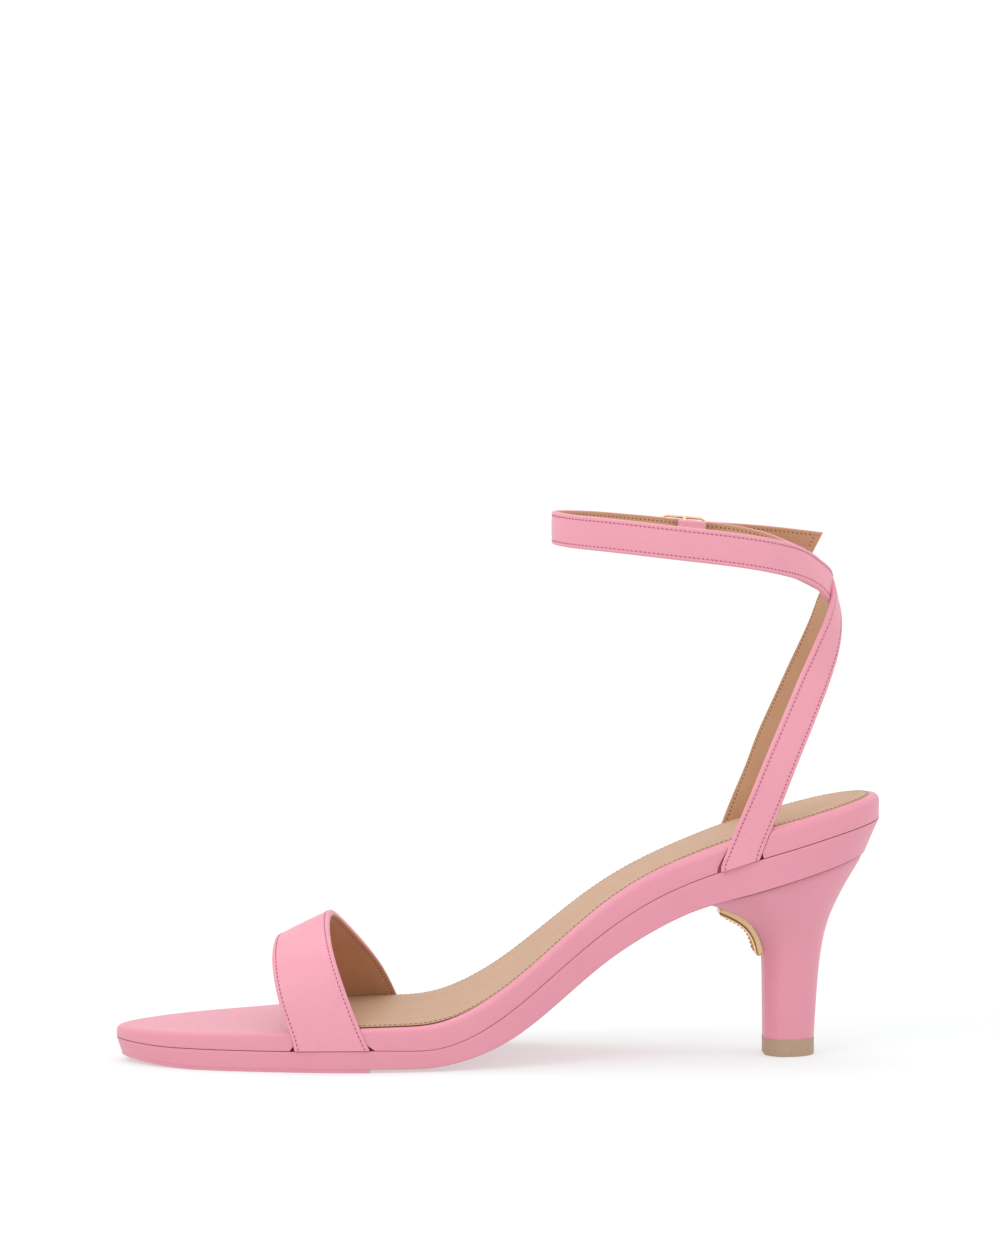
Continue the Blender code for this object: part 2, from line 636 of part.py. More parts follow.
def make_buckle():
    """Frame with its drop bar, and the prong that turns on the bar."""
    corner = RAIL_CORNER
    rail = []
    for index, (sign_back, sign_up) in enumerate(((1, 1), (-1, 1), (-1, -1), (1, -1))):
        for step in range(5):
            angle = math.pi / 2.0 * (index + step / 4.0)
            back = sign_back * (RAIL_REACH - corner) + corner * math.cos(angle)
            up = sign_up * (RAIL_HALF - corner) + corner * math.sin(angle)
            rail.append((back, up))
        next_back = (1, -1, -1, 1)[(index + 1) % 4]
        if sign_back != next_back:
            for share in (0.25, 0.5, 0.75):
                rail.append(((1.0 - 2.0 * share) * sign_back * (RAIL_REACH - corner),
                             sign_up * RAIL_HALF))
    points = []
    for back, up in rail:
        arch = RAIL_ARCH * (1.0 - (back / RAIL_REACH) ** 2)
        points.append(at_buckle(back, RAIL_HEIGHT + RAIL_TILT * back - arch, up))
    axes = buckle_axes()
    frame = tube("buckle_frame", points, RAIL_RADIUS, axes[1], closed=True)

    post = RAIL_HEIGHT - RAIL_ARCH
    turn = BAR_TURN
    bar = [(post, RAIL_HALF), ((post + turn) / 2.0, RAIL_HALF)]
    for step in range(4):
        angle = math.pi / 2.0 * step / 3.0
        bar.append((turn - turn * math.sin(angle), RAIL_HALF - turn + turn * math.cos(angle)))
    bar += [(0.0, RAIL_HALF / 3.0)]
    bar += [(out, -up) for out, up in reversed(bar)]
    points = [at_buckle(0.0, out, up) for out, up in bar]
    combine(frame, tube("buckle_bar", points, BAR_RADIUS, axes[0]), 'UNION')

    rest = RAIL_HEIGHT - RAIL_TILT * RAIL_REACH + RAIL_RADIUS + PRONG_CLEAR + PRONG_RADIUS
    path = []
    for step in range(13):
        angle = math.radians(-190.0 + 285.0 * step / 12.0)
        path.append((PRONG_EYE * math.cos(angle), PRONG_EYE * math.sin(angle)))
    overhang = RAIL_REACH + 2.5 * PRONG_RADIUS
    path += PRONG_PATH + [(-RAIL_REACH, rest), (-overhang, rest + 0.1)]
    points = [at_buckle(back, out, 0.0) for back, out in path]
    tube("buckle_prong", points, PRONG_RADIUS, axes[2])


def heel_sections(rows):
    """Heel sections as matching rows of points, flat in front and round behind."""
    rest = 1.0 - WIDEST
    share = np.concatenate([np.linspace(0.0, WIDEST, 4),
                            WIDEST + rest * np.sin(np.linspace(0.0, math.pi / 2.0, 11)[1:])])
    widening = np.clip(share / WIDEST, 0.0, 1.0)
    front = 1.0 - (1.0 - TIP_SHARE) * (1.0 - widening) ** CORNER_POWER
    taper = np.clip((share - WIDEST) / rest, 0.0, 1.0)
    width = front * (1.0 - taper ** BACK_POWER) ** 0.5
    rings = []
    for front_x, front_z, back_x, back_z, half in rows:
        x = front_x + (back_x - front_x) * share
        z = front_z + (back_z - front_z) * share
        rings.append(np.stack([np.stack([x, -half * width, z], axis=1),
                               np.stack([x, half * width, z], axis=1)]))
    return rings


def heel_rows():
    """Smooth set of heel sections between the rows of the table."""
    knots = np.arange(len(HEEL), dtype=float)
    fine = np.concatenate([[0.0, 0.9, 1.7], np.linspace(2.3, knots[-1], 12)])
    columns = list(zip(*HEEL))
    return list(zip(*[natural_spline(knots, values)(fine) for values in columns]))


def make_heel():
    """Wrapped heel, its tip and the plaque on its curved front."""
    rows = heel_rows()
    rings = heel_sections(rows)
    top = rings[-1]
    top[:, :, 2] = platform_low(top[:, :, 0]) - GAP
    lofted("heel", rings)

    tip = [HEEL[0][:1] + (height,) + HEEL[0][2:3] + (height, HEEL[0][4])
           for height in (0.0, HEEL_FLOOR - GAP)]
    lofted("heel_tip", heel_sections(tip))

    breast = np.array([(row[0], row[1]) for row in rows if row[1] > TRIM_LOW and row[0] > TRIM_START])
    breast = smooth_path(breast, TRIM_STEP)
    run = unit(np.gradient(breast, axis=0))
    out = np.stack([-run[:, 1], run[:, 0]], axis=1)
    if out[0, 0] > 0.0:
        out = -out
    rings = []
    for (x, z), (out_x, out_z) in zip(breast, out):
        outer = [(x + out_x * (GAP + high), TRIM_HALF * side, z + out_z * (GAP + high))
                 for side, high in TRIM_SECTION]
        inner = [(x + out_x * GAP, TRIM_HALF * side, z + out_z * GAP) for side, _ in TRIM_SECTION]
        rings.append(np.array([outer, inner]))
    lofted("heel_trim", rings)


def finish():
    """Colour the pieces and stand the shoe with its middle over the origin."""
    root = bpy.data.objects.new("sandal", None)
    bpy.context.scene.collection.objects.link(root)
    low = np.full(3, np.inf)
    high = np.full(3, -np.inf)
    for piece in list(bpy.context.scene.objects):
        if piece.type != 'MESH':
            continue
        piece.parent = root
        if piece.hide_render:
            continue
        red, green, blue, rough, metal = COLOURS[piece.name]
        material = bpy.data.materials.new(piece.name)
        material.use_nodes = True
        shader = material.node_tree.nodes["Principled BSDF"]
        shader.inputs["Base Color"].default_value = (red, green, blue, 1.0)
        shader.inputs["Roughness"].default_value = rough
        shader.inputs["Metallic"].default_value = metal
        piece.data.materials.append(material)
        corners = np.array([corner[:] for corner in piece.bound_box])
        low = np.minimum(low, corners.min(axis=0))
        high = np.maximum(high, corners.max(axis=0))
    middle = (low + high) / 2.0
    root.location = (-middle[0], -middle[1], -low[2])


for old in list(bpy.data.objects):
    bpy.data.objects.remove(old, do_unlink=True)
footbed_piece = make_sole()
make_straps(footbed_piece)
make_buckle()
make_heel()
finish()
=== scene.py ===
import math

import bpy
import numpy as np
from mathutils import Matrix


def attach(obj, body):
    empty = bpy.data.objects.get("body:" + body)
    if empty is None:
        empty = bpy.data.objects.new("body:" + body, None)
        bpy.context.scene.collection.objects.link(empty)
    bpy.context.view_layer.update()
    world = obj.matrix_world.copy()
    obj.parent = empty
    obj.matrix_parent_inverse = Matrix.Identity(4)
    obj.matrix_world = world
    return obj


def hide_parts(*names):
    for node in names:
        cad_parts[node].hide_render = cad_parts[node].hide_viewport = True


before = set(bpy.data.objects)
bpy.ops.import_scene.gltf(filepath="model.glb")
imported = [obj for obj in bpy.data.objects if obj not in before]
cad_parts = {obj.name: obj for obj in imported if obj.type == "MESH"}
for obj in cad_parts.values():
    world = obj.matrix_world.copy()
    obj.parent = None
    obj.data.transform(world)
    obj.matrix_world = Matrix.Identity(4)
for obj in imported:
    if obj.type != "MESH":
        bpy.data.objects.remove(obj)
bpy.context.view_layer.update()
mm = 0.001
joinGap = 0.3   # air between two CAD solids that meet; sizes are in millimetres, the studio's in metres
closeGap = joinGap / 3.0   # air that the dressed heel and plaque keep
meshWork = {"merge": 0.002, "sharp": 35.0, "copySharp": 60.0}   # millimetres, then degrees
print("frame: CAD nodes loaded,", len(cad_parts))


# curves

def curveThrough(knots, values):
    # smooth curve through the values, read at any place between the knots
    knots = np.asarray(knots, float)
    values = np.asarray(values, float)
    steps = np.diff(knots)
    size = len(knots)
    matrix = np.eye(size)
    right = np.zeros(size)
    for row in range(1, size - 1):
        before, after = steps[row - 1], steps[row]
        matrix[row, row - 1:row + 2] = (before, 2.0 * (before + after), after)
        rise = (values[row + 1] - values[row]) / after
        right[row] = 6.0 * (rise - (values[row] - values[row - 1]) / before)
    bend = np.linalg.solve(matrix, right)

    def readAt(place):
        place = np.clip(np.asarray(place, float), knots[0], knots[-1])
        row = np.clip(np.searchsorted(knots, place) - 1, 0, size - 2)
        step = steps[row]
        left = (knots[row + 1] - place) / step
        share = 1.0 - left
        curve = (left ** 3 - left) * bend[row] + (share ** 3 - share) * bend[row + 1]
        return left * values[row] + share * values[row + 1] + curve * step ** 2 / 6.0

    return readAt


def stepsAlong(points):
    runs = np.linalg.norm(np.diff(points, axis=0), axis=1)
    return np.concatenate([[0.0], np.cumsum(runs)])


def readLine(points, run, places):
    return np.stack([np.interp(places, run, points[:, axis]) for axis in range(points.shape[1])], axis=1)


def evenPath(rows, spacing):
    rows = np.asarray(rows, float)
    knots = stepsAlong(rows)
    fine = np.linspace(0.0, knots[-1], 3000)
    dense = np.stack([curveThrough(knots, rows[:, axis])(fine) for axis in range(rows.shape[1])], axis=1)
    run = stepsAlong(dense)
    count = max(2, int(round(run[-1] / spacing)) + 1)
    return readLine(dense, run, np.linspace(0.0, run[-1], count))


def unit(vectors):
    return vectors / np.linalg.norm(vectors, axis=-1, keepdims=True)


# mesh work

def selectOnly(piece):
    bpy.ops.object.select_all(action='DESELECT')
    piece.select_set(True)
    bpy.context.view_layer.objects.active = piece


def drawnGrid(name, rows, finishes, columnFinish=None, paintedShade=None, sharpAngle=meshWork["sharp"]):
    # a flat grid is added and its rows are drawn out into the piece, then its seams and ends are closed
    rows = np.asarray(rows, float)
    count, across = rows.shape[:2]
    bpy.ops.object.select_all(action='DESELECT')
    bpy.ops.mesh.primitive_grid_add(x_subdivisions=across - 1, y_subdivisions=count - 1, size=1.0)
    piece = bpy.context.object
    piece.name = name
    piece.data.name = name
    piece.data.vertices.foreach_set("co", (rows * mm).astype(np.float32).ravel())
    for finish in finishes:
        piece.data.materials.append(finish)
    if columnFinish is not None:
        index = np.tile(np.asarray(columnFinish, np.int32), count - 1)
        piece.data.polygons.foreach_set("material_index", index)
    # painted shade per point, which blends the finish towards its dark colour
    if paintedShade is not None:
        layer = piece.data.attributes.new("paintedShade", 'FLOAT', 'POINT')
        spread = np.broadcast_to(paintedShade, (count, across)).astype(np.float32)
        layer.data.foreach_set("value", spread.ravel())
    bpy.ops.object.mode_set(mode='EDIT')
    bpy.ops.mesh.select_all(action='SELECT')
    bpy.ops.mesh.remove_doubles(threshold=meshWork["merge"] * mm)
    bpy.ops.mesh.fill_holes(sides=0)
    bpy.ops.mesh.select_all(action='SELECT')
    bpy.ops.mesh.normals_make_consistent(inside=False)
    bpy.ops.object.mode_set(mode='OBJECT')
    bpy.ops.object.shade_smooth_by_angle(angle=math.radians(sharpAngle))
    return piece


def cutAway(piece, cutter):
    step = piece.modifiers.new("cut " + cutter.name, 'BOOLEAN')
    step.operation = 'DIFFERENCE'
    step.object = cutter
    step.solver = 'EXACT'
    step.material_mode = 'TRANSFER'
    selectOnly(piece)
    bpy.ops.object.modifier_apply(modifier=step.name)
    bpy.data.objects.remove(cutter, do_unlink=True)


def tubeRows(points, radius, flat, closed, sides=16):
    # round bar along the points; flat is a direction that the bar never follows
    points = np.asarray(points, float)
    if closed:
        run = np.roll(points, -1, axis=0) - np.roll(points, 1, axis=0)
    else:
        run = np.gradient(points, axis=0)
    first = unit(np.cross(unit(run), np.asarray(flat, float)))
    second = np.cross(unit(run), first)
    turn = np.linspace(0.0, 2.0 * math.pi, sides + 1)[None, :, None]
    radius = np.broadcast_to(radius, (len(points),))[:, None, None]
    ring = np.cos(turn) * first[:, None, :] + np.sin(turn) * second[:, None, :]
    rows = points[:, None, :] + radius * ring
    if closed:
        rows = np.concatenate([rows, rows[:1]])
    return rows


def joinedCopies(name, base, spots, along, outward, finish):
    # one small shape copied to every spot in one mesh: its X follows the line, its Z the surface
    shape = np.array([vert.co[:] for vert in base.data.vertices]) / mm
    faces = [list(face.vertices) for face in base.data.polygons]
    along = unit(along)
    outward = unit(outward - along * np.sum(outward * along, axis=1, keepdims=True))
    aside = np.cross(outward, along)
    places = (spots[:, None, :] + shape[None, :, :1] * along[:, None, :]
              + shape[None, :, 1:2] * aside[:, None, :] + shape[None, :, 2:] * outward[:, None, :])
    copies = [[corner + copy * len(shape) for corner in face]
              for copy in range(len(spots)) for face in faces]
    mesh = bpy.data.meshes.new(name)
    mesh.from_pydata((places.reshape(-1, 3) * mm).tolist(), [], copies)
    mesh.materials.append(finish)
    mesh.update()
    piece = bpy.data.objects.new(name, mesh)
    bpy.context.scene.collection.objects.link(piece)
    selectOnly(piece)
    bpy.ops.object.shade_smooth_by_angle(angle=math.radians(meshWork["copySharp"]))
    return piece


def seat(piece, slotName, *nodes):
    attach(piece, "root")
    if nodes:
        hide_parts(*nodes)


# finishes

noiseReach = (0.3, 0.7)   # where nearly all of a noise's values lie
# specks and gloss patches of leather are counted in pores, gloss patches of thread in mottles
leatherNodes = {"speckPores": 1.7, "glossPores": 6.0, "poreSmooth": 0.6, "wave": 0.35, "sheenRough": 0.4}
metalNodes = {"cloudSize": 3.0, "glossSize": 0.5, "brushSize": 0.25, "brush": 0.15, "brushDepth": 0.02}
plainNodes = {"glossMottles": 2.0, "relief": 0.2, "reliefDepth": 0.03}


def newFinish(name):
    finish = bpy.data.materials.new(name)
    finish.use_nodes = True
    tree = finish.node_tree
    return finish, tree, tree.nodes["Principled BSDF"]


def noiseAt(tree, place, size, detail):
    # noise whose patches are about size millimetres across
    noise = tree.nodes.new("ShaderNodeTexNoise")
    noise.inputs["Scale"].default_value = 1.0 / (size * mm)
    noise.inputs["Detail"].default_value = detail
    tree.links.new(place.outputs["Object"], noise.inputs["Vector"])
    return noise.outputs["Fac"]


def mapped(tree, source, reach, result):
    stretch = tree.nodes.new("ShaderNodeMapRange")
    for socket, value in zip(("From Min", "From Max", "To Min", "To Max"), reach + result):
        stretch.inputs[socket].default_value = value
    tree.links.new(source, stretch.inputs["Value"])
    return stretch.outputs["Result"]


def patches(tree, place, size, detail, result=(0.0, 1.0)):
    return mapped(tree, noiseAt(tree, place, size, detail), noiseReach, result)


def blended(tree, share, first, second):
    # first and second are colours or colour outputs
    mix = tree.nodes.new("ShaderNodeMix")
    mix.data_type = 'RGBA'
    tree.links.new(share, mix.inputs[0])
    for socket, colour in ((mix.inputs[6], first), (mix.inputs[7], second)):
        if isinstance(colour, tuple):
            socket.default_value = colour + (1.0,)
        else:
            tree.links.new(colour, socket)
    return mix.outputs[2]


def withPaintedShade(tree, colour, darkColour):
    # painted shade darkens a piece's seams and hollows, as far as its per-point share says
    paintedShade = tree.nodes.new("ShaderNodeAttribute")
    paintedShade.attribute_name = "paintedShade"
    return blended(tree, paintedShade.outputs["Fac"], colour, darkColour)


def raised(tree, height, strength, depth):
    bump = tree.nodes.new("ShaderNodeBump")
    bump.inputs["Strength"].default_value = strength
    bump.inputs["Distance"].default_value = depth * mm
    tree.links.new(height, bump.inputs["Height"])
    return bump


def leatherFinish(name, look):
    finish, tree, shader = newFinish(name)
    place = tree.nodes.new("ShaderNodeTexCoord")
    pore = look["poreSize"]
    cloud = patches(tree, place, look["cloudSize"], 3.0)
    colour = blended(tree, cloud, look["colour"], look["cloudColour"])
    speck = patches(tree, place, pore * leatherNodes["speckPores"], 2.0, (0.0, look["speck"]))
    colour = blended(tree, speck, colour, look["poreColour"])
    tree.links.new(withPaintedShade(tree, colour, look["seamShadeColour"]), shader.inputs["Base Color"])
    rough = patches(tree, place, pore * leatherNodes["glossPores"], 3.0, look["rough"])
    tree.links.new(rough, shader.inputs["Roughness"])
    pores = tree.nodes.new("ShaderNodeTexVoronoi")
    pores.feature = 'SMOOTH_F1'
    pores.inputs["Scale"].default_value = 1.0 / (pore * mm)
    pores.inputs["Smoothness"].default_value = leatherNodes["poreSmooth"]
    tree.links.new(place.outputs["Object"], pores.inputs["Vector"])
    grain = raised(tree, pores.outputs["Distance"], look["grain"], look["grainDepth"])
    swell = noiseAt(tree, place, look["waveSize"], 2.0)
    wave = raised(tree, swell, leatherNodes["wave"], look["waveDepth"])
    tree.links.new(grain.outputs["Normal"], wave.inputs["Normal"])
    tree.links.new(wave.outputs["Normal"], shader.inputs["Normal"])
    shader.inputs["Specular IOR Level"].default_value = look["gloss"]
    shader.inputs["Sheen Weight"].default_value = look["sheen"]
    shader.inputs["Sheen Roughness"].default_value = leatherNodes["sheenRough"]
    return finish


def metalFinish(name, look):
    finish, tree, shader = newFinish(name)
    place = tree.nodes.new("ShaderNodeTexCoord")
    cloud = patches(tree, place, metalNodes["cloudSize"], 3.0)
    colour = blended(tree, cloud, look["colour"], look["cloudColour"])
    tree.links.new(withPaintedShade(tree, colour, look["shadeColour"]), shader.inputs["Base Color"])
    rough = patches(tree, place, metalNodes["glossSize"], 3.0, look["rough"])
    tree.links.new(rough, shader.inputs["Roughness"])
    strokes = noiseAt(tree, place, metalNodes["brushSize"], 2.0)
    brush = raised(tree, strokes, metalNodes["brush"], metalNodes["brushDepth"])
    tree.links.new(brush.outputs["Normal"], shader.inputs["Normal"])
    shader.inputs["Metallic"].default_value = 1.0
    return finish


def plainFinish(name, look):
    # thread, rubber, and dark needle holes and notches painted as shade: a colour with a fine mottle
    finish, tree, shader = newFinish(name)
    place = tree.nodes.new("ShaderNodeTexCoord")
    size = look["mottleSize"]
    colour = blended(tree, patches(tree, place, size, 3.0), look["colour"], look["cloudColour"])
    tree.links.new(colour, shader.inputs["Base Color"])
    rough = patches(tree, place, size * plainNodes["glossMottles"], 2.0, look["rough"])
    tree.links.new(rough, shader.inputs["Roughness"])
    relief = raised(tree, noiseAt(tree, place, size, 4.0), plainNodes["relief"], plainNodes["reliefDepth"])
    tree.links.new(relief.outputs["Normal"], shader.inputs["Normal"])
    return finish


# each leather's seam colour is the painted shade that its seams, grooves and hollows blend towards
strapLeather = leatherFinish("strapLeather", {
    "colour": (0.73, 0.302, 0.375), "cloudColour": (0.71, 0.288, 0.361), "cloudSize": 22.0,
    "poreColour": (0.62, 0.20, 0.27), "poreSize": 0.42, "speck": 0.18, "seamShadeColour": (0.26, 0.035, 0.075),
    "rough": (0.40, 0.50), "grain": 0.10, "grainDepth": 0.05, "waveSize": 6.0, "waveDepth": 0.10,
    "gloss": 0.45, "sheen": 0.05,
})
wrapLeather = leatherFinish("wrapLeather", {
    "colour": (0.70, 0.276, 0.348), "cloudColour": (0.68, 0.263, 0.336), "cloudSize": 30.0,
    "poreColour": (0.58, 0.19, 0.26), "poreSize": 0.40, "speck": 0.16, "seamShadeColour": (0.20, 0.025, 0.055),
    "rough": (0.42, 0.52), "grain": 0.09, "grainDepth": 0.05, "waveSize": 8.0, "waveDepth": 0.08,
    "gloss": 0.42, "sheen": 0.05,
})
liningLeather = leatherFinish("liningLeather", {
    "colour": (0.50, 0.275, 0.155), "cloudColour": (0.46, 0.245, 0.135), "cloudSize": 14.0,
    "poreColour": (0.40, 0.20, 0.10), "poreSize": 0.5, "speck": 0.30, "seamShadeColour": (0.16, 0.06, 0.025),
    "rough": (0.52, 0.64), "grain": 0.16, "grainDepth": 0.05, "waveSize": 5.0, "waveDepth": 0.08,
    "gloss": 0.35, "sheen": 0.08,
})
sockLeather = leatherFinish("sockLeather", {
    "colour": (0.505, 0.296, 0.168), "cloudColour": (0.475, 0.272, 0.152), "cloudSize": 18.0,
    "poreColour": (0.37, 0.20, 0.12), "poreSize": 0.55, "speck": 0.28, "seamShadeColour": (0.10, 0.028, 0.020),
    "rough": (0.48, 0.60), "grain": 0.18, "grainDepth": 0.05, "waveSize": 7.0, "waveDepth": 0.08,
    "gloss": 0.38, "sheen": 0.08,
})
gilt = metalFinish("gilt", {
    "colour": (0.90, 0.655, 0.375), "cloudColour": (0.86, 0.62, 0.35), "shadeColour": (0.40, 0.285, 0.145),
    "rough": (0.22, 0.30),
})
# gilt darkened as painted shade, for the beads that sit in shade
giltInShade = metalFinish("giltInShade", {
    "colour": (0.52, 0.33, 0.165), "cloudColour": (0.46, 0.28, 0.135), "shadeColour": (0.40, 0.285, 0.145),
    "rough": (0.26, 0.34),
})
pinkThread = plainFinish("pinkThread", {
    "colour": (0.70, 0.27, 0.35), "cloudColour": (0.62, 0.21, 0.29),
    "mottleSize": 0.15, "rough": (0.5, 0.65),
})
tanThread = plainFinish("tanThread", {
    "colour": (0.66, 0.42, 0.24), "cloudColour": (0.54, 0.32, 0.17),
    "mottleSize": 0.15, "rough": (0.5, 0.65),
})
# dark grains painted as the shade in needle holes and in the notches of the strap feet
pinkHoleShade = plainFinish("pinkHoleShade", {
    "colour": (0.30, 0.05, 0.10), "cloudColour": (0.26, 0.042, 0.088),
    "mottleSize": 0.2, "rough": (0.7, 0.8),
})
tanHoleShade = plainFinish("tanHoleShade", {
    "colour": (0.12, 0.05, 0.022), "cloudColour": (0.10, 0.04, 0.018),
    "mottleSize": 0.2, "rough": (0.7, 0.8),
})
tipRubber = plainFinish("tipRubber", {
    "colour": (0.42, 0.285, 0.19), "cloudColour": (0.38, 0.255, 0.165),
    "mottleSize": 0.8, "rough": (0.55, 0.7),
})
print("finishes: made", len(bpy.data.materials))


# stitches

faceStitch = {"pitch": 1.33, "thread": (0.62, 0.26, 0.16), "hole": (0.64, 0.36, 0.10), "slant": 24.0,
              "threadFinish": pinkThread, "holeFinish": pinkHoleShade}
backStitch = {"pitch": 1.3, "thread": (0.76, 0.30, 0.22), "hole": (0.64, 0.34, 0.10), "slant": 8.0,
              "threadFinish": tanThread, "holeFinish": tanHoleShade}
sockStitch = {"pitch": 1.5, "thread": (0.56, 0.26, 0.18), "hole": (1.02, 0.40, 0.16), "slant": 0.0,
              "threadFinish": tanThread, "holeFinish": tanHoleShade}
sewnTrim = 0.6   # bare ends of a sewn line


def stitchGrain(size, slant):
    # one thread loop, or one needle hole's painted shade: a small grain, long along X, turned a little on
    # the surface
    bpy.ops.object.select_all(action='DESELECT')
    bpy.ops.mesh.primitive_uv_sphere_add(segments=6, ring_count=4, radius=0.5 * mm)
    grain = bpy.context.object
    bpy.ops.object.mode_set(mode='EDIT')
    bpy.ops.mesh.select_all(action='SELECT')
    bpy.ops.transform.rotate(value=math.pi / 2.0, orient_axis='Y', center_override=(0.0, 0.0, 0.0))
    bpy.ops.transform.resize(value=size, center_override=(0.0, 0.0, 0.0))
    bpy.ops.transform.rotate(value=math.radians(slant), orient_axis='Z', center_override=(0.0, 0.0, 0.0))
    bpy.ops.object.mode_set(mode='OBJECT')
    return grain


def placesAlong(points, outward, pitch, trim=0.0):
    # even places on a surface line, and half way between them
    run = stepsAlong(points)
    count = max(1, int((run[-1] - 2.0 * trim) / pitch))
    centres = trim + (np.arange(count) + 0.5) * pitch
    edges = trim + np.arange(count + 1) * pitch
    direction = np.gradient(points, axis=0)
    return [[readLine(points, run, at), readLine(direction, run, at), readLine(outward, run, at)]
            for at in (centres, edges)]


def sewnLines(name, lines, stitch, slotName):
    # lines: surface points with the surface's outward direction
    found = [placesAlong(points, outward, stitch["pitch"], trim=sewnTrim) for points, outward in lines]
    for part, kind in enumerate(("thread", "hole")):
        joined = [np.vstack([line[part][column] for line in found]) for column in range(3)]
        grain = stitchGrain(stitch[kind], stitch["slant"])
        piece = joinedCopies(name + kind.capitalize(), grain, *joined, stitch[kind + "Finish"])
        bpy.data.objects.remove(grain, do_unlink=True)
        seat(piece, slotName)


# sole

sole = {
    "outline": [   # x, y round the sole: toe tip, inner side, heel, outer side
        (-114.0, -4.0), (-107.0, -17.5), (-93.0, -27.8), (-70.0, -34.8), (-45.0, -38.8),
        (-20.0, -37.3), (5.0, -31.5), (25.0, -25.0), (45.0, -21.4), (65.0, -23.3),
        (85.0, -25.3), (101.5, -21.0), (111.0, -11.0), (114.0, 0.5), (111.2, 11.8),
        (101.5, 21.8), (85.0, 26.0), (65.0, 25.3), (45.0, 25.6), (20.0, 30.0),
        (-5.0, 35.5), (-30.0, 38.4), (-55.0, 35.0), (-78.0, 27.3), (-97.0, 18.0), (-109.5, 6.8),
    ],
    "profile": [   # x, seam height, footbed above the seam, underside, undercut of the platform's wall
        (-114.0, 7.1, 3.5, 2.10, 1.3), (-103.0, 6.4, 4.4, 0.75, 1.0), (-90.0, 6.3, 4.9, -0.10, 0.8),
        (-70.0, 6.25, 5.45, -0.50, 0.6), (-50.0, 6.5, 6.1, -0.60, 0.6), (-32.0, 6.5, 6.7, -0.40, 0.6),
        (-20.0, 6.8, 7.3, 0.35, 0.6), (-9.0, 10.4, 7.9, 2.80, 0.6), (3.0, 17.8, 8.2, 8.20, 0.7),
        (16.0, 28.2, 8.35, 17.60, 0.8), (30.0, 39.2, 8.6, 28.80, 0.9), (44.0, 48.1, 8.3, 37.70, 1.0),
        (58.0, 54.6, 8.0, 44.50, 1.1), (72.0, 59.5, 8.3, 48.80, 1.2), (88.0, 64.3, 8.1, 53.60, 1.6),
        (102.0, 68.3, 7.9, 57.80, 2.8), (114.0, 71.2, 7.7, 61.40, 4.2),
    ],
    "upperRound": [   # x, radius of the footbed's top edge
        (-114.0, 1.7), (-100.0, 1.4), (-60.0, 1.2), (-30.0, 1.7), (5.0, 2.6), (114.0, 2.6),
    ],
    "lowerRound": [   # x, radius of the platform's lower edge
        (-114.0, 0.2), (-44.0, 0.2), (-30.0, 0.5), (56.0, 0.5), (64.0, 0.2), (114.0, 0.2),
    ],
    "seamShade": [   # x, painted shade along the seam between platform and footbed
        (-114.0, 0.65), (-66.0, 0.6), (-62.0, 0.9), (-42.0, 0.9), (-38.0, 0.15), (-12.0, 0.15),
        (-4.0, 0.5), (56.0, 0.55), (66.0, 0.85), (114.0, 0.85),
    ],
    "stations": 170, "padThick": 0.7, "padInset": 0.2, "padRound": 0.25, "padEnd": -39.5,
    "seatStart": 56.0, "seatFade": 8.0, "seamRound": 0.16, "seamGap": 0.05,
}
sock = {
    "inset": 3.0, "start": -60.0, "slant": 13.0, "sunk": 0.4, "under": 0.5, "edgeWide": 0.8,
    "edgeStart": 27.0, "liftLow": 0.4, "edgeShade": 0.45, "stitchAngle": 62.0, "stitchBack": 0.4,
    "proud": [   # x, height over the footbed
        (-60.0, 0.85), (-20.0, 0.85), (2.0, 0.2), (44.0, 0.12), (60.0, 0.4), (114.0, 0.4),
    ],
    "lift": [(-60.0, 0.3), (-18.0, 0.3), (-4.0, 0.06), (114.0, 0.06)],   # x, air under the edge
    "underShade": [(-60.0, 1.0), (-20.0, 1.0), (-6.0, 0.35), (114.0, 0.35)],   # x, painted shade under the edge
}


def soleCurves():
    loop = sole["outline"][-3:] + sole["outline"] + sole["outline"][:3]
    knots = stepsAlong(np.asarray(loop, float))
    fine = np.linspace(knots[3], knots[-3], 2400, endpoint=False)
    plan = np.stack([curveThrough(knots, [row[axis] for row in loop])(fine) for axis in (0, 1)], axis=1)
    tangent = unit(np.roll(plan, -1, axis=0) - np.roll(plan, 1, axis=0))
    away = np.stack([tangent[:, 1], -tangent[:, 0]], axis=1)
    columns = list(zip(*sole["profile"]))
    return plan, away, [curveThrough(columns[0], values) for values in columns[1:]]


solePlan, planAway, (seamHeight, footbedRise, lowerLine, undercut) = soleCurves()


def readTable(table):
    return lambda x: np.interp(x, *zip(*table))


def footbedTop(x):
    return seamHeight(x) + footbedRise(x)


def floorLine(x):
    return np.maximum(lowerLine(x), 0.0)


def platformLow(x):
    return floorLine(x) + sole["padThick"] + joinGap


def noInset(x):
    return np.zeros_like(x)


def planSides(inset):
    moved = solePlan - planAway * inset(solePlan[:, 0])[:, None]
    moved = np.roll(moved, -int(np.argmin(moved[:, 0])), axis=0)
    heelEnd = int(np.argmax(moved[:, 0]))
    return moved[:heelEnd + 1], np.vstack([moved[heelEnd:], moved[:1]])[::-1]


def sideAt(x, side):
    edge = planSides(noInset)[0 if side < 0 else 1]
    return np.interp(x, edge[:, 0], edge[:, 1])


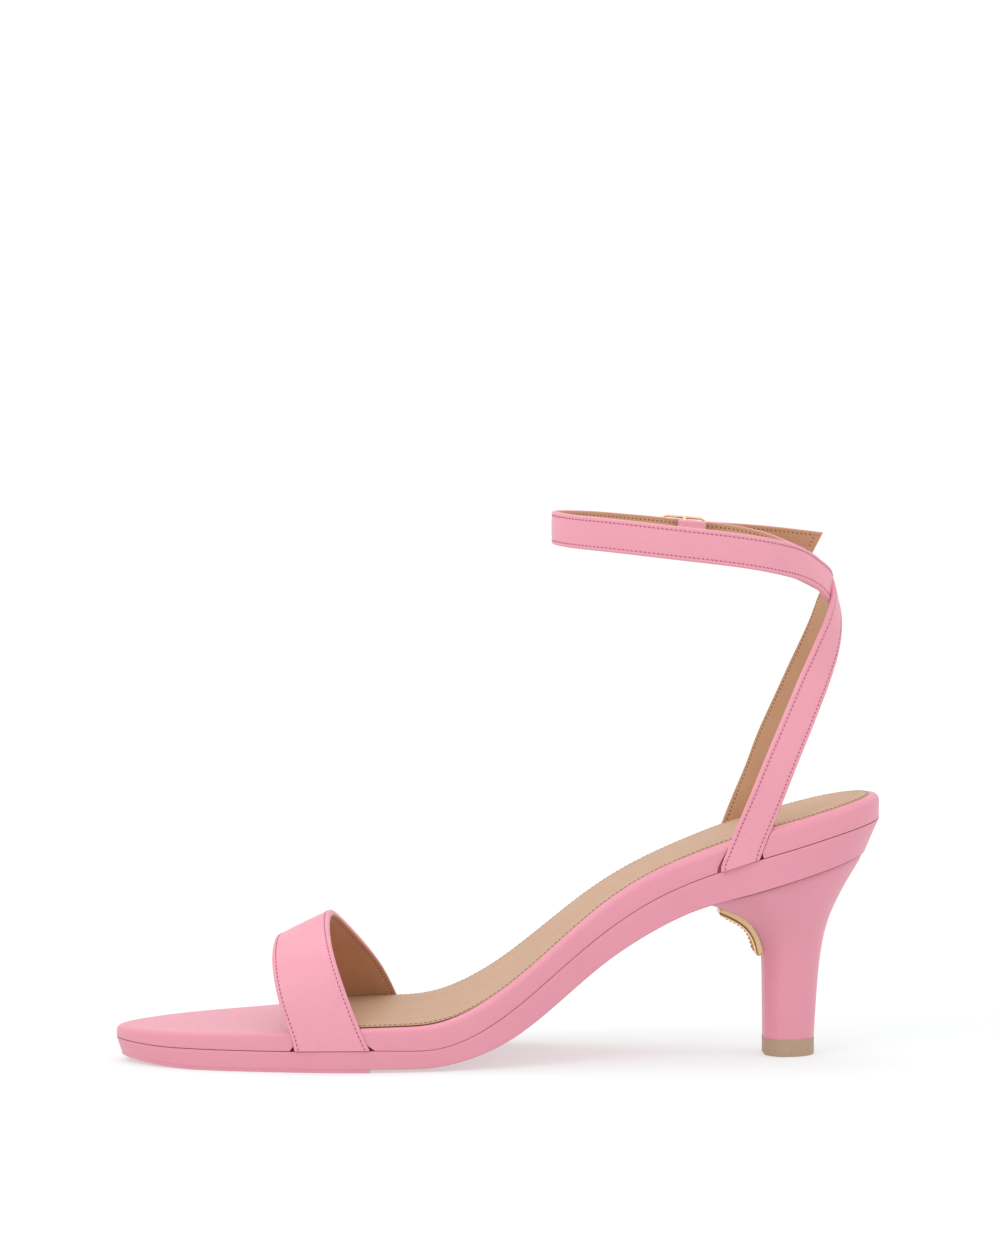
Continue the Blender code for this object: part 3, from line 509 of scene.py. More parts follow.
def soleRing(inset, height, spread=1.0, first=None, last=None, slant=0.0):
    # one level round a sole piece; a spread under 1 draws it in to the middle line, and a slant sets
    # the outer side's front end further back
    inner, outer = planSides(inset)
    start = inner[0, 0] if first is None else first
    end = inner[-1, 0] if last is None else last
    share = (1.0 - np.cos(np.linspace(0.0, math.pi, sole["stations"]))) / 2.0
    x = start + (end - start) * share
    near = np.stack([x, np.interp(x, inner[:, 0], inner[:, 1])], axis=1)
    x = x + slant * (1.0 - share) ** 4
    far = np.stack([x, np.interp(x, outer[:, 0], outer[:, 1])], axis=1)
    middle = (near + far) / 2.0
    sides = []
    for edge in (near, far):
        edge = middle + (edge - middle) * spread
        sides.append(np.column_stack([edge, height(edge[:, 0])]))
    return np.vstack([sides[0], sides[1][::-1], sides[0][:1]])


def solePiece(name, levels, finish, **ends):
    # levels from the bottom up: inset, height and painted seam shade of each ring; both faces are drawn in
    rings, paintedShades = [], []
    drawIn = [(levels[0], spread) for spread in (0.0, 0.4, 0.75)]
    drawIn += [(level, 1.0) for level in levels]
    drawIn += [(levels[-1], spread) for spread in (0.93, 0.75, 0.5, 0.25, 0.0)]
    for (inset, height, paintedShade), spread in drawIn:
        ring = soleRing(inset, height, spread=spread, **ends)
        rings.append(ring)
        paintedShades.append(paintedShade(ring[:, 0]))
    return drawnGrid(name, np.array(rings), [finish], paintedShade=np.array(paintedShades))


def roundedEdge(radius, steps, inset, height, up, paintedShade=None):
    # levels of a rounded edge, up for an upper edge; its painted shade is full at the face and gone at the
    # wall
    made = []
    for step in range(steps + 1):
        angle = math.pi / 2.0 * step / steps
        far, near = 1.0 - math.cos(angle), 1.0 - math.sin(angle)
        inward, along = (far, -near) if up else (near, far)
        share = math.sin(angle) if up else math.cos(angle)
        made.append((lambda x, i=inward: inset(x) + radius(x) * i,
                     lambda x, a=along: height(x) + radius(x) * a,
                     (lambda x, s=share: paintedShade(x) * s) if paintedShade else noInset))
    return made


def makeSole():
    padInset = sole["padInset"]
    seamShade = readTable(sole["seamShade"])
    upperRound = readTable(sole["upperRound"])
    lowRound = readTable(sole["lowerRound"])
    # painted shade on the platform's lower edge, where the heel meets it
    seatShade = lambda x: np.clip((x - sole["seatStart"]) / sole["seatFade"], 0.0, 1.0)
    seamRound = lambda x: noInset(x) + sole["seamRound"]
    seamUnder = lambda x: seamHeight(x) - sole["seamGap"]
    seamOver = lambda x: seamHeight(x) + sole["seamGap"]
    padRound = lambda x: noInset(x) + sole["padRound"]
    padWall = lambda x: undercut(x) + padInset
    padTop = lambda x: floorLine(x) + sole["padThick"]

    pad = roundedEdge(padRound, 3, padWall, floorLine, up=False)
    pad.append((padWall, lambda x: padTop(x) + joinGap, noInset))
    seat(solePiece("forefootPad", pad, wrapLeather, last=sole["padEnd"] - padInset), "sole_pad", "outsole")

    low = roundedEdge(lowRound, 6, undercut, platformLow, up=False, paintedShade=seatShade)
    high = roundedEdge(seamRound, 3, noInset, seamUnder, up=True, paintedShade=seamShade)
    wall = []
    for share in (0.25, 0.5, 0.75):
        wall.append((lambda x, s=share: undercut(x) * (1.0 - s),
                     lambda x, s=share: (platformLow(x) + lowRound(x)) * (1.0 - s)
                     + (seamHeight(x) - sole["seamRound"]) * s, noInset))
    seat(solePiece("wrappedPlatform", low + wall + high, wrapLeather), "wrap_leather", "platform")

    low = roundedEdge(seamRound, 3, noInset, seamOver, up=False, paintedShade=seamShade)
    high = roundedEdge(upperRound, 12, noInset, footbedTop, up=True)
    middle = (noInset, lambda x: (seamHeight(x) + footbedTop(x) - upperRound(x)) / 2.0, noInset)
    return solePiece("wrappedFootbed", low + [middle] + high, wrapLeather)


def makeSock():
    # its edge stands a little off the footbed, so a dark line shows under it; painted shade on its lower
    # walls darkens that line further
    inset = lambda x: noInset(x) + sock["inset"]
    under = lambda x: inset(x) + sock["under"]
    dark = readTable(sock["underShade"])
    lift = readTable(sock["lift"])
    proud = readTable(sock["proud"])
    top = lambda x: footbedTop(x) + proud(x)
    edgeIn = lambda x, a: inset(x) + sock["edgeWide"] * (1.0 - math.cos(a))
    edgeTop = lambda x, a: top(x) - (proud(x) - lift(x)) * (1.0 - math.sin(a))
    levels = [(under, lambda x: footbedTop(x) - sock["sunk"], dark),
              (under, lambda x: footbedTop(x) + lift(x) * sock["liftLow"], dark),
              (inset, lambda x: footbedTop(x) + lift(x), lambda x: dark(x) * sock["edgeShade"])]
    for angle in np.radians(np.linspace(sock["edgeStart"], 90.0, 7)):
        levels.append((lambda x, a=angle: edgeIn(x, a), lambda x, a=angle: edgeTop(x, a), noInset))
    seat(solePiece("tanSock", levels, sockLeather, first=sock["start"], slant=sock["slant"]),
         "sock_leather", "insole")
    angle = math.radians(sock["stitchAngle"])
    line = soleRing(lambda x: edgeIn(x, angle), lambda x: edgeTop(x, angle),
                    first=sock["start"] + sock["stitchBack"], slant=sock["slant"])
    line = line[np.concatenate([[True], np.linalg.norm(np.diff(line, axis=0), axis=1) > 1e-6])]
    run = np.gradient(line, axis=0)
    outward = unit(np.cross(run, (0.0, 0.0, 1.0))) * math.cos(angle) + np.array([0.0, 0.0, math.sin(angle)])
    sewnLines("sock", [(line, outward)], sockStitch, "sock_leather")


footbedPiece = makeSole()
makeSock()
print("sole: pad, platform, footbed and sock made")


# straps

strapEdge = {
    "stitchIn": 1.25, "groove": 0.015, "puff": 0.05, "crown": 0.12, "roll": 0.5, "liningOut": 0.1,
    "liningRoll": 6, "sewnOut": 0.05, "endOut": 0.12,
}


def strapSection(thick):
    # closed section of a lined strap: share of its width, distance from there, depth and painted shade
    # in its folds and grooves, and which of its sides are lining
    inward, crown, groove, roll = (strapEdge[name] for name in ("stitchIn", "crown", "groove", "roll"))
    lined = thick + strapEdge["liningOut"]
    face = [(0.5, 0.0, -crown, 0.0), (0.3, 0.0, -crown * 0.9, 0.0), (0.15, 1.0, -crown * 0.5, 0.0),
            (0.0, inward + 0.7, 0.0, 0.0), (0.0, inward + 0.32, 0.02, 0.0),
            (0.0, inward + 0.15, groove, 0.0), (0.0, inward - 0.15, groove, 0.0),
            (0.0, inward - 0.32, 0.0, 0.0), (0.0, inward - 0.5, -strapEdge["puff"], 0.0)]
    edge = []
    for angle in np.linspace(0.0, math.pi, 9):
        edge.append((0.0, roll * (1.0 - math.sin(angle)), thick / 2.0 * (1.0 - math.cos(angle)), 0.0))
    # painted shade at the fold's edge and in the lining's stitch groove
    back = [(0.0, roll + 0.08, thick, 0.3), (0.0, roll + 0.16, lined, 0.0), (0.0, inward - 0.3, lined, 0.0),
            (0.0, inward, thick + 0.02, 0.2), (0.0, inward + 0.3, lined, 0.0), (0.2, 0.6, lined, 0.0),
            (0.5, 0.0, lined, 0.0)]
    half = np.array(face + edge + back)
    other = half[::-1].copy()
    other[:, 0] = 1.0 - other[:, 0]
    other[:, 1] = -other[:, 1]
    section = np.vstack([half, other[1:]])
    lining = np.zeros(len(section) - 1, np.int32)
    start = len(face) + strapEdge["liningRoll"]
    lining[start:len(lining) - start] = 1
    return section, lining


def strapRows(front, rear, outFront, outRear, section):
    # section carried along the two edges of a strap's outer face
    across = rear - front
    width = np.linalg.norm(across, axis=1)[:, None, None]
    across = unit(across)[:, None, :]
    share = section[None, :, 0:1]
    off = share * width + section[None, :, 1:2]
    blend = np.clip(off / width, 0.0, 1.0)
    outward = unit(outFront[:, None, :] * (1.0 - blend) + outRear[:, None, :] * blend)
    return front[:, None, :] + across * off - outward * section[None, :, 2:3]


def strapLine(front, rear, outFront, outRear, share, off, depth, facing):
    # one line along a strap's face, with the direction away from the face
    spot = np.array([[share, off, depth]])
    line = strapRows(front, rear, outFront, outRear, spot)[:, 0]
    return line, (outFront * (1.0 - share) + outRear * share) * facing


def linedStrap(name, rows, section, lining, *nodes):
    piece = drawnGrid(name, rows, [strapLeather, liningLeather], columnFinish=lining, paintedShade=section[:, 3])
    seat(piece, "strap_leather", *nodes)


toeBand = {
    "front": [   # x, y, z of the front edge from the inner side over the toes
        (-66.4, -35.2, 21.0), (-68.2, -29.0, 30.8), (-67.8, -18.5, 35.8), (-66.2, -5.0, 37.0),
        (-63.2, 9.0, 34.9), (-59.8, 20.5, 29.6), (-56.2, 29.3, 20.8),
    ],
    "rear": [   # x, y, z of the rear edge
        (-46.0, -37.8, 21.5), (-49.8, -32.5, 33.0), (-51.3, -19.5, 41.2), (-50.4, -5.0, 44.7),
        (-46.4, 9.0, 40.8), (-40.2, 22.0, 33.0), (-33.4, 32.8, 23.0),
    ],
    "feet": [   # height above the seam, front and rear x on the inner side, then on the outer side
        (0.1, -61.9, -39.9, -52.0, -26.4), (5.7, -63.4, -42.4, -53.6, -28.4),
    ],
    "thick": 2.0, "footProud": 0.7, "stations": 150, "footStations": 26, "notch": 1.5, "notchHigh": 1.6,
}
footRoom = {"clear": 0.02, "outside": 3.0, "below": 2.0}


def toeBandEdges():
    edges = []
    for side, column in (("front", 0), ("rear", 1)):
        rows = []
        for lift, *places in toeBand["feet"]:
            x = places[column]
            rows.append((x, sideAt(x, -1) - toeBand["footProud"], seamHeight(x) + lift))
        rows += toeBand[side]
        for lift, *places in reversed(toeBand["feet"]):
            x = places[column + 2]
            rows.append((x, sideAt(x, 1) + toeBand["footProud"], seamHeight(x) + lift))
        knots = np.arange(len(rows), dtype=float)
        share = np.linspace(0.0, knots[-1], toeBand["stations"])
        edges.append(np.stack([curveThrough(knots, values)(share) for values in zip(*rows)], axis=1))
    front, rear = edges
    across = unit(rear - front)
    outFront = unit(np.cross(across, np.gradient(front, axis=0)))
    outRear = unit(np.cross(across, np.gradient(rear, axis=0)))
    if outFront[len(outFront) // 2, 2] < 0.0:
        outFront, outRear = -outFront, -outRear
    return front, rear, outFront, outRear


def cutFootRoom(name, edges, band, part):
    # room for a strap foot in the footbed's side, a little wider at the seam. Its cut faces take the
    # cutter's dark finish as painted shade in the notch.
    front, rear, outFront, outRear = (line[part].copy() for line in edges)
    across = unit(rear - front)
    height = np.minimum(front[:, 2] - seamHeight(front[:, 0]), rear[:, 2] - seamHeight(rear[:, 0]))
    notch = band["notch"] * np.clip(1.0 - height / band["notchHigh"], 0.0, 1.0)
    widen = (footRoom["clear"] + notch)[:, None]
    front -= across * widen
    rear += across * widen
    low = 0 if height[0] < height[-1] else -1
    near = 1 if low == 0 else -2
    for edge in (front, rear):
        step = edge[low] - edge[near]
        edge[low] += step * (footRoom["below"] / abs(step[2]))
    outer, inner = -footRoom["outside"], band["thick"] + footRoom["clear"]
    corners = np.array([(0.0, 0.0, outer), (1.0, 0.0, outer), (1.0, 0.0, inner), (0.0, 0.0, inner),
                        (0.0, 0.0, outer)])
    cutter = drawnGrid(name, strapRows(front, rear, outFront, outRear, corners), [pinkHoleShade])
    cutAway(footbedPiece, cutter)


def strapStitches(name, edges, thick, tail=0):
    # a row inside each edge of both faces, and across the end of a tail
    inward, out = strapEdge["stitchIn"], strapEdge["sewnOut"]
    sides = ((0.0, inward), (1.0, -inward))
    faces = (("Face", 1.0, strapEdge["groove"] - out, -strapEdge["crown"], faceStitch),
             ("Back", -1.0, thick + out, thick + strapEdge["endOut"], backStitch))
    for side, facing, depth, endDepth, stitch in faces:
        lines = [strapLine(*edges, share, off, depth, facing) for share, off in sides]
        if tail:
            lines = [(line[:-tail], outward[:-tail]) for line, outward in lines]
            last = [edge[-1 - tail:-tail] for edge in edges]
            edge = inward / np.linalg.norm(last[1] - last[0])
            across = np.array([(share, 0.0, endDepth) for share in np.linspace(edge, 1.0 - edge, 12)])
            lines.append((strapRows(*last, across)[0], np.repeat(lines[0][1][-1:], len(across), axis=0)))
        sewnLines(name + side, lines, stitch, "strap_leather")


def makeToeBand():
    edges = toeBandEdges()
    section, lining = strapSection(toeBand["thick"])
    linedStrap("toeBand", strapRows(*edges, section), section, lining, "vamp_strap")
    strapStitches("toeBand", edges, toeBand["thick"])
    last, foot = toeBand["stations"], toeBand["footStations"]
    cutFootRoom("innerToeRoom", edges, toeBand, slice(0, foot))
    cutFootRoom("outerToeRoom", edges, toeBand, slice(last - foot, last))


makeToeBand()
print("toe band: made and let into the footbed")


ankle = {
    "inner": [   # x, y, z from the inner foot, over the crossing, to the buckle
        (69.2, -23.8, 56.5), (73.0, -24.6, 67.0), (77.4, -23.9, 77.5), (82.4, -20.8, 89.0),
        (87.7, -16.6, 100.5), (92.7, -12.2, 111.5), (97.1, -7.9, 121.5), (99.9, -4.2, 130.0),
        (100.7, -1.2, 135.3), (100.1, 2.4, 139.3), (97.4, 6.3, 142.4), (93.5, 10.8, 145.2),
        (87.8, 16.2, 147.8), (81.4, 21.4, 150.3), (72.0, 25.0, 152.4),
    ],
    "outer": [   # x, y, z from the outer foot, under the crossing, round the ankle, to the tail
        (70.4, 24.9, 56.5), (74.3, 25.2, 67.0), (78.3, 24.3, 77.5), (81.9, 21.2, 89.0),
        (86.4, 17.0, 100.5), (91.0, 13.0, 111.5), (94.8, 9.8, 121.0), (96.8, 7.2, 128.0),
        (98.0, 4.6, 133.4), (98.9, 1.6, 137.0), (98.8, -1.6, 139.8), (97.3, -4.9, 142.1),
        (94.9, -8.3, 144.2), (91.4, -12.2, 146.5), (87.3, -16.8, 148.4), (82.3, -21.4, 149.9),
        (76.5, -24.3, 151.2),
        (64.0, -26.3, 153.1), (52.0, -26.2, 154.5), (40.5, -24.2, 155.8), (29.0, -19.3, 156.9),
        (21.0, -12.3, 157.5), (17.3, -4.8, 157.9), (17.3, 4.8, 157.9), (21.2, 12.6, 157.6),
        (29.5, 19.2, 157.0), (39.5, 23.4, 156.0), (46.5, 25.0, 155.3), (51.5, 25.9, 154.7),
        (57.0, 27.2, 154.1), (65.0, 27.3, 153.4), (75.5, 27.2, 152.7), (87.5, 26.2, 151.6),
        (97.1, 24.2, 150.5),
    ],
    "width": 10.0, "thick": 1.6, "foldThick": 1.2, "spacing": 0.9, "tailSlant": 3.8, "tailRows": 14,
    "skiveRows": 8, "bareRows": 4,
    "innerTurn": [   # height, and how far its face has turned from the near side to the back
        (60.0, -8.0), (69.0, 0.0), (77.5, 8.0), (89.0, 12.0), (100.5, 15.0), (111.5, 20.0), (121.5, 37.0),
        (130.0, 59.0), (135.3, 72.0), (139.3, 76.0), (142.4, 90.0), (145.2, 115.0), (147.8, 138.0),
        (150.3, 151.0), (152.4, 165.0), (153.2, 175.0), (154.0, 180.0),
    ],
    "outerLean": [   # height, and how far the band's upright leans along x and y there
        (121.0, 0.0, 0.0), (137.0, 0.02, 0.02), (139.8, -0.01, 0.06), (142.1, -0.08, 0.11),
        (144.3, -0.19, 0.17), (146.5, -0.15, 0.13), (149.5, 0.0, 0.0),
    ],
    "notch": 1.3, "notchHigh": 1.8, "footStations": 22, "footClear": 2.5, "footLow": 0.1, "footRows": 6,
    "footTuck": 0.9, "seamSlope": 0.28,
}
buckle = {
    "bar": (57.0, 24.2, 154.1), "slope": -0.1, "barRadius": 0.5, "wrap": 1.4, "lead": (9.0, 4.0, 1.0),
    "foldBack": 7.0, "foldStep": 0.8, "railRadius": 0.45, "reach": 6.8, "half": 5.6, "height": 4.1,
    "tilt": 0.11, "arch": 1.0, "corner": 1.6, "barTurn": 1.0,
    "prongRadius": 0.5, "prongEye": 1.3, "prongTurn": (-190.0, 95.0), "prongStep": 0.3, "prongGap": 0.2,
    "prongPath": [(-1.4, 1.95), (-3.0, 3.2), (-4.4, 4.25)], "prongPast": 1.25, "prongLift": 0.1,
    "prongTaper": (0.97, 0.88, 0.7, 0.4),
}


def buckleAxes():
    back = unit(np.array([1.0, 0.0, buckle["slope"]]))
    out = np.array([0.0, 1.0, 0.0])
    return np.stack([back, out, np.cross(back, out)])


def atBuckle(back, out, up):
    # place given along the strap, outward and across it, from the middle of the bar
    return np.asarray(buckle["bar"]) + np.array([back, out, up]) @ buckleAxes()


def turned(points, table):
    # the direction across a band whose face turns as it rises
    run = unit(np.gradient(points, axis=0))
    angle = np.radians(np.interp(points[:, 2], *zip(*table)))
    outward = np.stack([np.sin(angle), -np.cos(angle), np.zeros(len(points))], axis=1)
    return unit(np.cross(outward, run))


def leant(points, table):
    # the direction across a band that leans
    high, alongX, alongY = zip(*table)
    leanX = np.interp(points[:, 2], high, alongX)
    leanY = np.interp(points[:, 2], high, alongY)
    return np.stack([leanX, leanY, np.ones(len(points))], axis=1)


def bandEdges(points, turn, thick, upright):
    # edges of a band's outer face; the foot follows the seam, its front corner drawn in
    run = unit(np.gradient(points, axis=0))
    outward = unit(np.cross(run, upright)) * turn
    rise = unit(np.cross(outward, run)) * turn
    middle = points + outward * np.broadcast_to(thick, (len(points),))[:, None] / 2.0
    low = middle - rise * ankle["width"] / 2.0
    high = middle + rise * ankle["width"] / 2.0
    clear = np.minimum(low[:, 2] - seamHeight(low[:, 0]), high[:, 2] - seamHeight(high[:, 0]))
    first = int(np.argmax(clear > ankle["footClear"]))
    feet = []
    for edge in (low, high):
        foot = edge[first].copy()
        for _ in range(6):   # settles on the seam
            short = foot[2] - seamHeight(foot[0]) - ankle["footLow"]
            foot -= run[first] * short / (run[first][2] - ankle["seamSlope"] * run[first][0])
        feet.append(foot)
    shares = np.linspace(0.0, 1.0, ankle["footRows"] + 1)[:-1, None]
    low = np.vstack([feet[0] * (1.0 - shares) + low[first] * shares, low[first:]])
    high = np.vstack([feet[1] * (1.0 - shares) + high[first] * shares, high[first:]])
    above = (high[:, 2] - seamHeight(high[:, 0])) / ankle["footClear"]
    tuck = ankle["footTuck"] * np.clip(1.0 - above, 0.0, 1.0) ** 2
    high = high - unit(high - low) * tuck[:, None]
    outward = np.vstack([np.repeat(outward[first:first + 1], len(shares), axis=0), outward[first:]])
    return low, high, outward, first, len(shares)


def bandRows(edges, section, thick):
    # the band's rows, its section thinned where the leather is skived
    low, high, outward = edges
    rows = strapRows(low, high, outward, outward, section)
    full = ankle["thick"]
    shrink = 1.0 - np.broadcast_to(thick, (len(low),)) / full
    depth = np.clip(section[None, :, 2], 0.0, full)
    return rows + outward[:, None, :] * (shrink[:, None] * depth)[:, :, None]


def makeInnerBand():
    # from the inner foot to the fold round the buckle's bar
    section, lining = strapSection(ankle["thick"])
    lead = [tuple(atBuckle(reach, buckle["wrap"], 0.0)) for reach in buckle["lead"]]
    route = evenPath(ankle["inner"] + lead, ankle["spacing"])
    fold = []
    for angle in np.linspace(math.pi / 2.0, 1.5 * math.pi, 25):
        fold.append(atBuckle(buckle["wrap"] * math.cos(angle), buckle["wrap"] * math.sin(angle), 0.0))
    for reach in np.arange(buckle["foldStep"], buckle["foldBack"], buckle["foldStep"]):
        fold.append(atBuckle(reach, -buckle["wrap"], 0.0))
    points = np.vstack([route, fold])
    thick = np.full(len(points), ankle["thick"])
    skive = ankle["skiveRows"]
    skived = len(route) - skive
    thick[skived:] = ankle["foldThick"]
    thick[skived - skive:skived] = np.linspace(ankle["thick"], ankle["foldThick"], skive)
    upright = turned(points, ankle["innerTurn"])
    upright[len(route):] = buckleAxes()[2]
    low, high, outward, first, added = bandEdges(points, 1.0, thick, upright)
    thick = np.concatenate([np.full(added, ankle["thick"]), thick[first:]])
    linedStrap("ankleBandInner", bandRows((low, high, outward), section, thick), section, lining,
               "ankle_strap")
    edges = (low, high, outward, outward)
    sewn = len(low) - len(fold) - ankle["bareRows"]
    strapStitches("ankleInner", [edge[:sewn] for edge in edges], ankle["thick"])
    cutFootRoom("innerAnkleRoom", edges, ankle, slice(0, ankle["footStations"]))


def makeOuterBand():
    # from the outer foot round the ankle to the free tail, whose end is cut at a slant
    section, lining = strapSection(ankle["thick"])
    points = evenPath(ankle["outer"], ankle["spacing"])
    low, high, outward, _, _ = bandEdges(points, -1.0, ankle["thick"], leant(points, ankle["outerLean"]))
    run = unit(points[-1] - points[-2])
    reach = ankle["tailRows"]
    for step in range(reach):
        lean = (step + 1.0) / reach
        low[step - reach] -= run * ankle["tailSlant"] / 2.0 * lean
        high[step - reach] += run * ankle["tailSlant"] / 2.0 * lean
    linedStrap("ankleBandOuter", bandRows((low, high, outward), section, ankle["thick"]), section, lining)
    edges = (low, high, outward, outward)
    strapStitches("ankleOuter", edges, ankle["thick"], tail=2)
    cutFootRoom("outerAnkleRoom", edges, ankle, slice(0, ankle["footStations"]))


makeInnerBand()
makeOuterBand()
seat(footbedPiece, "wrap_leather", "footbed")
selectOnly(footbedPiece)
bpy.ops.object.shade_smooth_by_angle(angle=math.radians(meshWork["sharp"]))
print("ankle bands: made and let into the footbed")


# buckle

def makeBuckle():
    corner, reach, half = buckle["corner"], buckle["reach"], buckle["half"]
    outline = []
    for index, (signBack, signUp) in enumerate(((1, 1), (-1, 1), (-1, -1), (1, -1))):
        for angle in np.linspace(0.0, math.pi / 2.0, 9) + math.pi / 2.0 * index:
            outline.append((signBack * (reach - corner) + corner * math.cos(angle),
                            signUp * (half - corner) + corner * math.sin(angle)))
    outline = np.array(outline + outline[:1])
    run = stepsAlong(outline)
    outline = readLine(outline, run, np.linspace(0.0, run[-1], 90)[:-1])
    points = []
    for back, up in outline:
        arch = buckle["arch"] * (1.0 - (back / reach) ** 2)
        points.append(atBuckle(back, buckle["height"] + buckle["tilt"] * back - arch, up))
    axes = buckleAxes()
    rows = tubeRows(points, buckle["railRadius"], axes[1], closed=True)
    seat(drawnGrid("buckleRails", rows, [gilt]), "gilt", "buckle_frame")

    turn = buckle["barTurn"]
    post = buckle["height"] - buckle["arch"]
    bar = [(post, half), ((post + turn) / 2.0, half)]
    for angle in np.linspace(0.0, math.pi / 2.0, 7):
        bar.append((turn - turn * math.sin(angle), half - turn + turn * math.cos(angle)))
    bar += [(0.0, half / 3.0)]
    bar += [(out, -up) for out, up in reversed(bar)]
    points = [atBuckle(0.0, out, up) for out, up in bar]
    rows = tubeRows(points, buckle["barRadius"], axes[0], closed=False)
    seat(drawnGrid("buckleBar", rows, [gilt]), "gilt")

    rest = buckle["height"] - buckle["tilt"] * reach + buckle["railRadius"]
    rest += buckle["prongGap"] + buckle["prongRadius"]
    path = []
    for angle in np.radians(np.linspace(*buckle["prongTurn"], 25)):
        path.append((buckle["prongEye"] * math.cos(angle), buckle["prongEye"] * math.sin(angle)))
    path += buckle["prongPath"]
    path += [(-reach, rest), (-reach - buckle["prongPast"], rest + buckle["prongLift"])]
    points = evenPath([atBuckle(back, out, 0.0) for back, out in path], buckle["prongStep"])
    radius = np.full(len(points), buckle["prongRadius"])
    taper = np.array(buckle["prongTaper"])
    radius[-len(taper):] *= taper
    rows = tubeRows(points, radius, axes[2], closed=False)
    seat(drawnGrid("bucklePin", rows, [gilt]), "gilt", "buckle_prong")


makeBuckle()
print("buckle: rails, bar and prong made")


# heel

heel = {
    "sections": [   # front x, front z, back x, back z, half width, from the tip up to the seat
        (79.5, 5.2, 94.6, 5.2, 9.4), (79.4, 14.0, 95.1, 13.5, 9.6), (79.3, 24.0, 95.9, 24.5, 10.2),
        (78.8, 31.6, 97.2, 34.2, 11.6), (76.4, 37.8, 99.6, 42.6, 14.4), (71.0, 42.3, 104.0, 51.6, 18.2),
        (62.2, 46.0, 108.7, 59.4, 21.6),
    ],
    "frontShare": 0.45, "widest": 0.35, "cornerPower": 2.2, "backPower": 2.3, "rows": 70,
    "sharp": 30.0, "brimHigh": 0.6, "brimShade": 0.9, "tipProud": 0.08, "tipHigh": 5.18, "tipRound": 0.35,
}


def heelRing(frontX, frontZ, backX, backZ, half, proud=0.0):
    widest = heel["widest"]
    share = np.concatenate([np.linspace(0.0, widest, 16),
                            widest + (1.0 - widest) * np.sin(np.linspace(0.0, math.pi / 2.0, 36)[1:])])
    widening = np.clip(share / widest, 0.0, 1.0)
    front = 1.0 - (1.0 - heel["frontShare"]) * (1.0 - widening) ** heel["cornerPower"]
    taper = np.clip((share - widest) / (1.0 - widest), 0.0, 1.0)
    width = front * (1.0 - taper ** heel["backPower"]) ** 0.5
    x = frontX - proud + (backX - frontX + 2.0 * proud) * share
    z = frontZ + (backZ - frontZ) * share
    side = (half + proud) * width
    near = np.stack([x, -side, z], axis=1)
    far = np.stack([x, side, z], axis=1)[::-1]
    front = np.linspace(far[-1], near[0], 9)[1:]
    return np.vstack([near, far, front])


def heelTable():
    knots = np.arange(len(heel["sections"]), dtype=float)
    fine = np.linspace(0.0, knots[-1], heel["rows"])
    return np.stack([curveThrough(knots, values)(fine) for values in zip(*heel["sections"])], axis=1)


def drawnIn(ring):
    # rings that close a level towards its middle
    middle = ring.mean(axis=0)
    return [middle + (ring - middle) * share for share in (0.6, 0.3, 0.0)]


def makeHeel():
    rows = [heelRing(*row) for row in heelTable()]
    rows[-1][:, 2] = platformLow(rows[-1][:, 0]) - closeGap
    brim = rows[-1].copy()
    brim[:, 2] -= heel["brimHigh"]
    rows.insert(-1, brim)
    seatFace = drawnIn(rows[-1])
    rows = drawnIn(rows[0])[::-1] + rows + seatFace
    # painted shade on the heel's top rows, where the heel meets the platform
    paintedShade = np.zeros((len(rows), len(brim)))
    paintedShade[-1 - len(seatFace):] = heel["brimShade"]
    seat(drawnGrid("wrappedHeel", np.array(rows), [wrapLeather], paintedShade=paintedShade, sharpAngle=heel["sharp"]),
         "wrap_leather", "heel")

    frontX, _, backX, _, half = heel["sections"][0]
    rings = []
    for angle in np.linspace(math.pi / 2.0, 0.0, 5):
        inward = heel["tipRound"] * (1.0 - math.cos(angle))
        low = heel["tipRound"] * (1.0 - math.sin(angle))
        rings.append(heelRing(frontX, low, backX, low, half, heel["tipProud"] - inward))
    rings.append(heelRing(frontX, heel["tipHigh"], backX, heel["tipHigh"], half, heel["tipProud"]))
    rings = drawnIn(rings[0])[::-1] + rings + drawnIn(rings[-1])
    seat(drawnGrid("heelTopPiece", np.array(rings), [tipRubber]), "tip_rubber", "heel_tip")


makeHeel()
print("heel: wrapped heel and top piece made")


# gilt plaque

plaque = {
    "start": 65.7, "low": 29.7, "half": 5.0, "spacing": 0.4, "nose": 1.3,
    "wall": [   # in from the side, height, painted shade: lower lip, channel, upper rim and the sunk front face
        (0.0, 0.0, 0.1), (0.0, 0.14, 0.1), (0.1, 0.26, 0.3), (0.26, 0.45, 0.45), (0.38, 0.8, 0.5),
        (0.42, 1.15, 0.6), (0.38, 1.45, 0.6), (0.24, 1.7, 0.7), (0.06, 1.84, 0.4), (0.0, 1.98, 0.0),
        (0.05, 2.2, 0.0), (0.2, 2.36, 0.0), (0.45, 2.42, 0.0), (0.7, 2.34, 0.1), (0.9, 2.1, 0.5),
        (1.0, 1.8, 0.7), (1.3, 1.68, 0.4), (3.0, 1.74, 0.2),
    ],
    "rimWide": 0.7, "beadIn": 0.95, "beadHigh": 2.3, "beadWide": 0.85, "beadPitch": 1.3,
}


